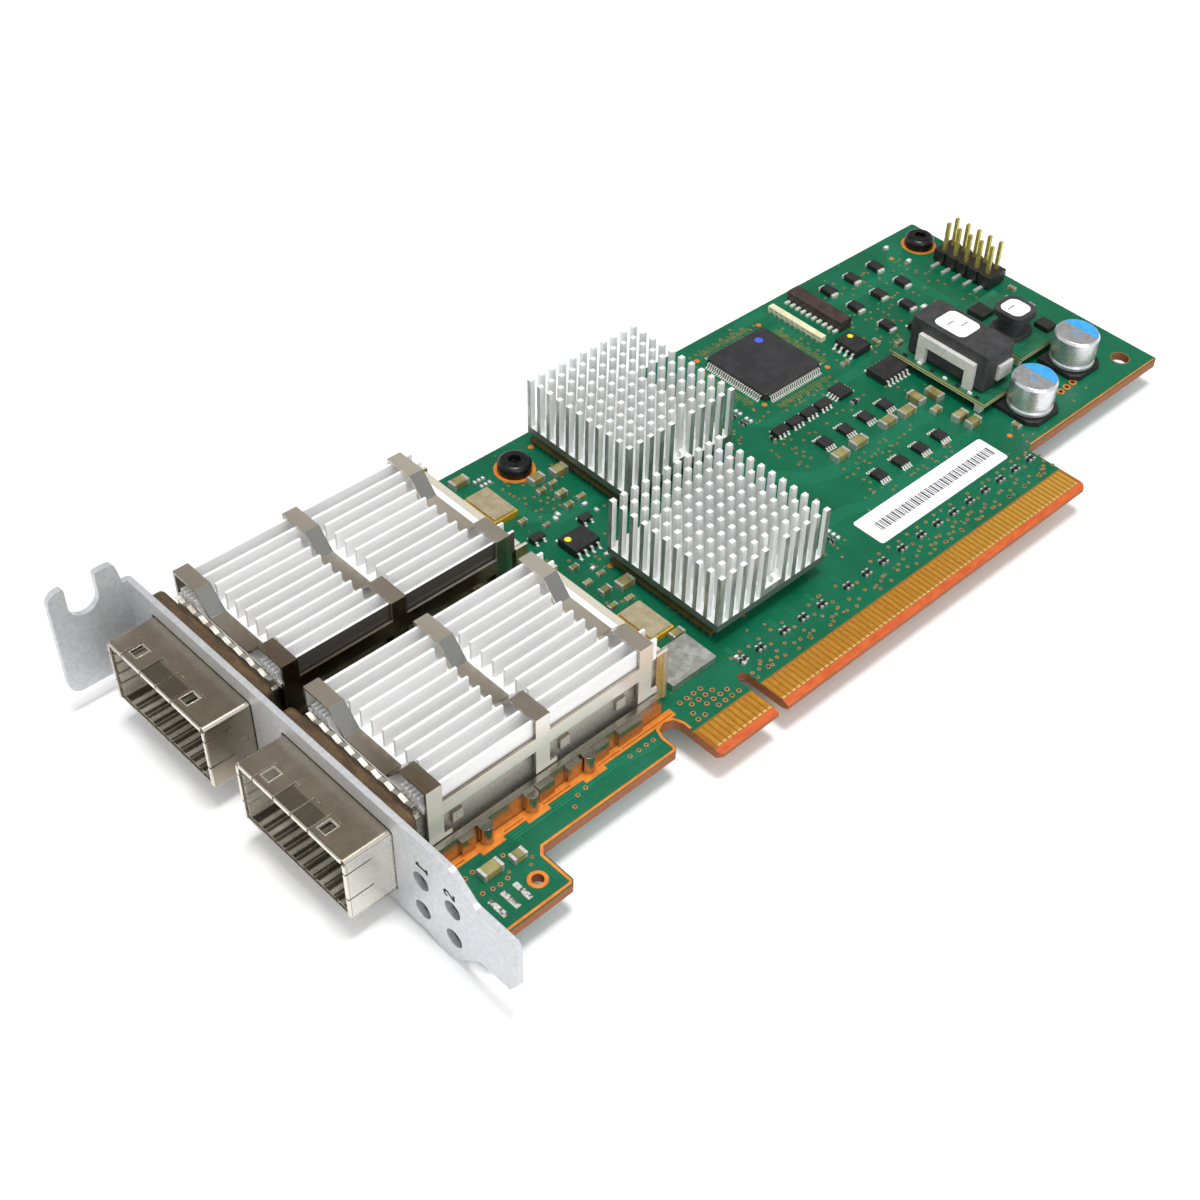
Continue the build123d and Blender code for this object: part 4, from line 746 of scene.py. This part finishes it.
for x, y, length, w, h, axis, body in (
        (19.2, 58.9, 2.6, 1.6, 1.0, "x", 0), (18.0, 56.4, 1.6, 0.9, 0.6, "x", 0), (20.6, 56.7, 1.5, 0.8, 0.5, "x", 0),
        (19.8, 53.8, 1.9, 1.2, 0.8, "x", 0), (21.7, 51.4, 1.6, 0.9, 0.6, "x", 0), (18.9, 51.1, 1.6, 1.0, 0.7, "x", 0),
        (11.1, 52.9, 1.5, 0.9, 0.6, "x", 0), (13.3, 50.0, 1.3, 0.7, 0.5, "x", 0), (12.0, 38.3, 1.0, 0.5, 0.4, "x", 3),
        (10.0, 40.2, 1.5, 0.9, 0.6, "x", 0), (9.2, 36.4, 1.5, 0.9, 0.6, "x", 0), (12.1, 36.7, 1.4, 0.8, 0.5, "x", 0),
        (10.0, 33.5, 2.0, 1.2, 0.8, "x", 0), (8.6, 30.4, 1.6, 0.9, 0.6, "x", 0), (11.5, 29.9, 1.6, 0.9, 0.6, "x", 0),
        (5.5, 35.2, 1.7, 0.9, 0.6, "y", 0), (11.4, 20.0, 2.4, 1.4, 0.9, "x", 0), (21.0, 49.8, 1.1, 0.6, 0.4, "x", 3),
        (15.4, 50.2, 1.1, 0.6, 0.4, "y", 3), (16.3, 50.7, 1.1, 0.6, 0.4, "y", 3), (6.5, 49.8, 1.7, 0.9, 0.6, "y", 0),
        (21.5, 47.6, 1.0, 0.5, 0.35, "y", 3), (15.8, 39.2, 1.1, 0.6, 0.4, "x", 3), (6.8, 45.3, 1.6, 0.8, 0.5, "x", 0),
        (5.6, 40.0, 1.6, 0.8, 0.5, "x", 2), (6.2, 32.0, 1.6, 0.8, 0.5, "y", 0),
        (79.5, 47.4, 1.7, 0.9, 0.6, "x", 0), (88.6, 48.0, 1.6, 0.9, 0.6, "y", 0),
        (112.9, 66.4, 1.3, 0.7, 0.5, "x", 3), (112.8, 60.8, 1.3, 0.7, 0.5, "x", 3), (120.8, 42.5, 1.6, 0.9, 0.6, "y", 0), (116.0, 40.5, 2.6, 1.5, 1.0, "x", 0),
        (117.6, 36.5, 2.6, 1.5, 1.0, "x", 0), (103.4, 49.4, 1.6, 0.8, 0.5, "x", 3), (91.4, 45.2, 1.7, 0.9, 0.6, "x", 0),
        (99.5, 19.4, 2.0, 1.2, 0.8, "x", 0), (88.6, 17.0, 1.7, 0.9, 0.6, "y", 0), (72.6, 39.2, 1.6, 0.8, 0.5, "x", 2),
        (55.0, 41.6, 1.2, 0.6, 0.4, "y", 2), (3.0, 60.2, 2.4, 1.4, 1.0, "y", 0)):
    chip_part(x, y, length, w, h, axis, body)
for cx, cy in ((55.2, 50.1), (55.1, 47.6), (44.4, 18.9)):
    for i in range(2):
        for j in range(2 if cx > 50 else 3):
            chip_part(cx - 1.0 + 1.4 * i, cy - 0.5 + 0.95 * j, 0.9, 0.5, 0.35, "x", 3 if i else 2)
for i in range(3):
    chip_part(11.7 + 0.8 * i, 64.7, 0.8, 0.45, 0.35, "y", 3)
    chip_part(11.9 + 0.8 * i, 63.3, 0.8, 0.45, 0.35, "y", 3)
    chip_part(14.6, 9.6 + 0.8 * i, 0.9, 0.45, 0.35, "x", 3)
for i in range(10):
    y = 60.75 + (i - 4.5) * 1.27
    small.box(80.72, 81.08, y - 0.28, y + 0.28, 0.0, 0.5, 1, 0.04)
for i, y in enumerate((24.4, 26.0, 28.6, 31.4, 34.2, 37.0, 40.2)):
    small.box(86.42, 86.86, y - 0.4, y + 0.4, 2.6, 2.95, 3 if i % 2 else 2, 0.03)
small.done(0.0)

# paint dots and print
mark = Shape("markings", M["yellow"], M["blue"], M["ink"], M["white_ink"], M["label"], M["dark"], M["blue_dot"])
mark.disc(84.9, 51.1, 0.55, 1.5, 1.53, 0)
mark.disc(12.6, 44.4, 0.55, 1.5, 1.53, 0)
mark.disc(71.8, 60.7, 0.75, 1.451, 1.47, 6, 24)
for yy, x0, x1 in ((14.9, 51.5, 80.0),):
    x = x0
    k = 0
    while x < x1:
        w = (0.16, 0.34, 0.16, 0.22, 0.4)[k % 5]
        mark.box(x, x + w, yy, yy + 2.0, 0.08, 0.084, 2)
        x += w + (0.2, 0.3, 0.16, 0.24)[k % 4]
        k += 1
# blue segment on each can
for x, y in ((94.1, 18.6), (110.3, 21.6)):
    pts = []
    for i in range(19):
        a = math.radians(-76 + 152 * i / 18)
        pts.append((x + 3.62 * math.cos(a), y + 3.62 * math.sin(a), 6.815))
    mark.face(pts, 1)
    for i in range(3):
        mark.box(x - 1.9 + 0.5 * i, x - 0.3 + 0.3 * i, y - 0.9 + 0.75 * i, y - 0.72 + 0.75 * i, 6.8, 6.812, 1)
mark.done()

# rounded paper labels on the inductor block and on the drum
tags = Shape("part_tags", M["label"], M["ink"])


def rounded(x, y, sx, sy, r, z, shape, mat=0):
    pts = []
    for cx, cy, a0 in ((1, 1, 0), (-1, 1, 90), (-1, -1, 180), (1, -1, 270)):
        for i in range(7):
            a = math.radians(a0 + 15 * i)
            pts.append((x + cx * (sx / 2 - r) + r * math.cos(a), y + cy * (sy / 2 - r) + r * math.sin(a), z))
    shape.face(pts, mat)


rounded(91.7, 34.2, 5.6, 6.6, 1.3, 10.03, tags)
rounded(106.7, 32.6, 4.6, 4.6, 1.5, 7.53, tags)
for x, y in ((91.0, 35.2), (92.6, 33.4), (106.2, 33.2)):
    z = 10.035 if x < 100 else 7.535
    tags.box(x - 0.9, x + 0.9, y - 0.1, y + 0.1, z, z + 0.004, 1)
tags.done()

# rolled lip along the front of each port's nose, parted at the slits; its light colour is a painted highlight
lip = Shape("nose_lips", M["lip"])
for yc in (52.3, 23.75):
    for a, b in ((-10.2, -3.95), (-3.65, -0.55), (-0.25, 2.95), (3.25, 7.15), (7.45, 10.2)):
        lip.box(-51.86, -51.5, yc + a, yc + b, 8.95, 9.6, 0)
    for s_ in (-1, 1):
        for a, b in ((-1.1, 2.25), (2.55, 7.15), (7.45, 8.9)):
            y0, y1 = sorted((yc + s_ * 10.9, yc + s_ * 10.35))
            lip.box(-51.86, -51.5, y0, y1, a, b, 0)
# raised frames round the latch windows, lighter as a painted highlight on their edges
for yc in (52.3, 23.75):
    for dy in (-5.1, 6.2):
        y0, y1 = yc + dy - 0.75, yc + dy + 0.75
        lip.box(-50.88, -50.7, y0 - 0.18, y1 + 0.18, 9.6, 9.68, 0)
        lip.box(-48.8, -48.62, y0 - 0.18, y1 + 0.18, 9.6, 9.68, 0)
        lip.box(-50.7, -48.8, y0 - 0.18, y0, 9.6, 9.68, 0)
        lip.box(-50.7, -48.8, y1, y1 + 0.18, 9.6, 9.68, 0)
lip.done(0.03)

# dark glossy lens behind each lamp hole, a light-pipe end that also serves as painted shade inside the hole, with a
# paler dome in the middle
lens = Shape("lamp_lenses", M["lens"], M["lamp"])
for y, z in ((7.7, 4.9), (7.7, -0.8), (1.8, 4.9), (1.8, -0.8)):
    for r0, x0, x1, mat in ((1.7, -43.2, -43.88, 0), (0.5, -43.88, -44.1, 1)):
        back = [lens.bm.verts.new(Vector((x0, y + r0 * math.cos(math.pi * i / 12), z + r0 * math.sin(math.pi * i / 12))) * MM)
                for i in range(24)]
        face = [lens.bm.verts.new(Vector((x1, y + 0.97 * r0 * math.cos(math.pi * i / 12), z + 0.97 * r0 * math.sin(math.pi * i / 12))) * MM)
                for i in range(24)]
        lens.bm.faces.new(back).material_index = mat
        lens.bm.faces.new(face[::-1]).material_index = mat
        for i in range(24):
            j = (i + 1) % 24
            lens.bm.faces.new([back[j], back[i], face[i], face[j]]).material_index = mat
lens.done()

# plain numerals beside the lamp holes, as dark strokes on the outer face
num = Shape("bracket_numerals", M["dark"])


def stroke(y0, z0, y1, z1, w=0.42):
    d = Vector((y1 - y0, z1 - z0)).normalized()
    n = Vector((-d.y, d.x)) * w / 2
    num.face([(-44.806, y0 - n.x, z0 - n.y), (-44.806, y0 + n.x, z0 + n.y),
              (-44.806, y1 + n.x, z1 + n.y), (-44.806, y1 - n.x, z1 - n.y)])


stroke(8.35, 7.85, 6.35, 7.85)
stroke(8.35, 7.85, 7.85, 8.35)
stroke(6.35, 7.35, 6.35, 8.35)
stroke(2.6, 7.0, 3.1, 7.2)
stroke(3.1, 7.2, 3.1, 7.8)
stroke(3.1, 7.8, 2.6, 8.0)
stroke(2.6, 8.0, 1.4, 7.1)
stroke(1.4, 7.0, 1.4, 8.1)
num.done()

# ---------------------------------------------------------------- studio
floor_mat = Graph("pale floor")
tone = floor_mat.ramp(floor_mat.noise(0.01, 2.0), 0.3, 0.7)
floor_mat.set(Base_Color=floor_mat.mix(tone, srgb(246, 246, 247), srgb(250, 250, 250)))
floor_mat.bsdf.inputs["Roughness"].default_value = 0.9
floor_mat.bsdf.inputs["Specular IOR Level"].default_value = 0.1
mesh = bpy.data.meshes.new("floor")
z = -5.66 * MM
mesh.from_pydata([(-8, -8, z), (8, -8, z), (8, 8, z), (-8, 8, z)], [], [(0, 1, 2, 3)])
mesh.materials.append(floor_mat.m)
floor = bpy.data.objects.new("floor", mesh)
bpy.context.scene.collection.objects.link(floor)

world = bpy.data.worlds.new("studio")
bpy.context.scene.world = world
world.use_nodes = True
wt = world.node_tree
wt.nodes.clear()
wo = wt.nodes.new("ShaderNodeOutputWorld")
bg = wt.nodes.new("ShaderNodeBackground")
tc = wt.nodes.new("ShaderNodeTexCoord")
dot = wt.nodes.new("ShaderNodeVectorMath")
dot.operation = "DOT_PRODUCT"
dot.inputs[1].default_value = Vector((0.52, 0.42, 0.74)).normalized()
mr = wt.nodes.new("ShaderNodeMapRange")
mr.interpolation_type = "SMOOTHSTEP"
mr.inputs[1].default_value = 0.6
mr.inputs[2].default_value = 0.95
mx = wt.nodes.new("ShaderNodeMix")
mx.data_type = "RGBA"
mx.inputs[6].default_value = (1.0, 1.0, 1.0, 1)
mx.inputs[7].default_value = (0.38, 0.355, 0.325, 1)
wt.links.new(tc.outputs["Generated"], dot.inputs[0])
wt.links.new(dot.outputs["Value"], mr.inputs[0])
wt.links.new(mr.outputs[0], mx.inputs[0])
wt.links.new(mx.outputs[2], bg.inputs[0])
bg.inputs[1].default_value = 0.76
wt.links.new(bg.outputs[0], wo.inputs[0])


def area(name, place, target, size, power, colour=(1, 1, 1)):
    d = bpy.data.lights.new(name, "AREA")
    d.shape = "DISK"
    d.size = size
    d.energy = power
    d.color = colour
    o = bpy.data.objects.new(name, d)
    bpy.context.scene.collection.objects.link(o)
    v = Vector(target) - Vector(place)
    o.matrix_world = Matrix.Translation(place) @ v.to_track_quat("-Z", "Y").to_matrix().to_4x4()
    return o


area("key", (0.03, 0.02, 0.9), (0.04, 0.03, 0), 0.3, 6.0)
area("fill", (-0.25, -0.8, 0.45), (0.04, 0.03, 0), 0.9, 3.2)
bpy.context.scene.view_settings.view_transform = "Standard"
bpy.context.scene.view_settings.look = "None"
bpy.context.scene.view_settings.exposure = 0.0
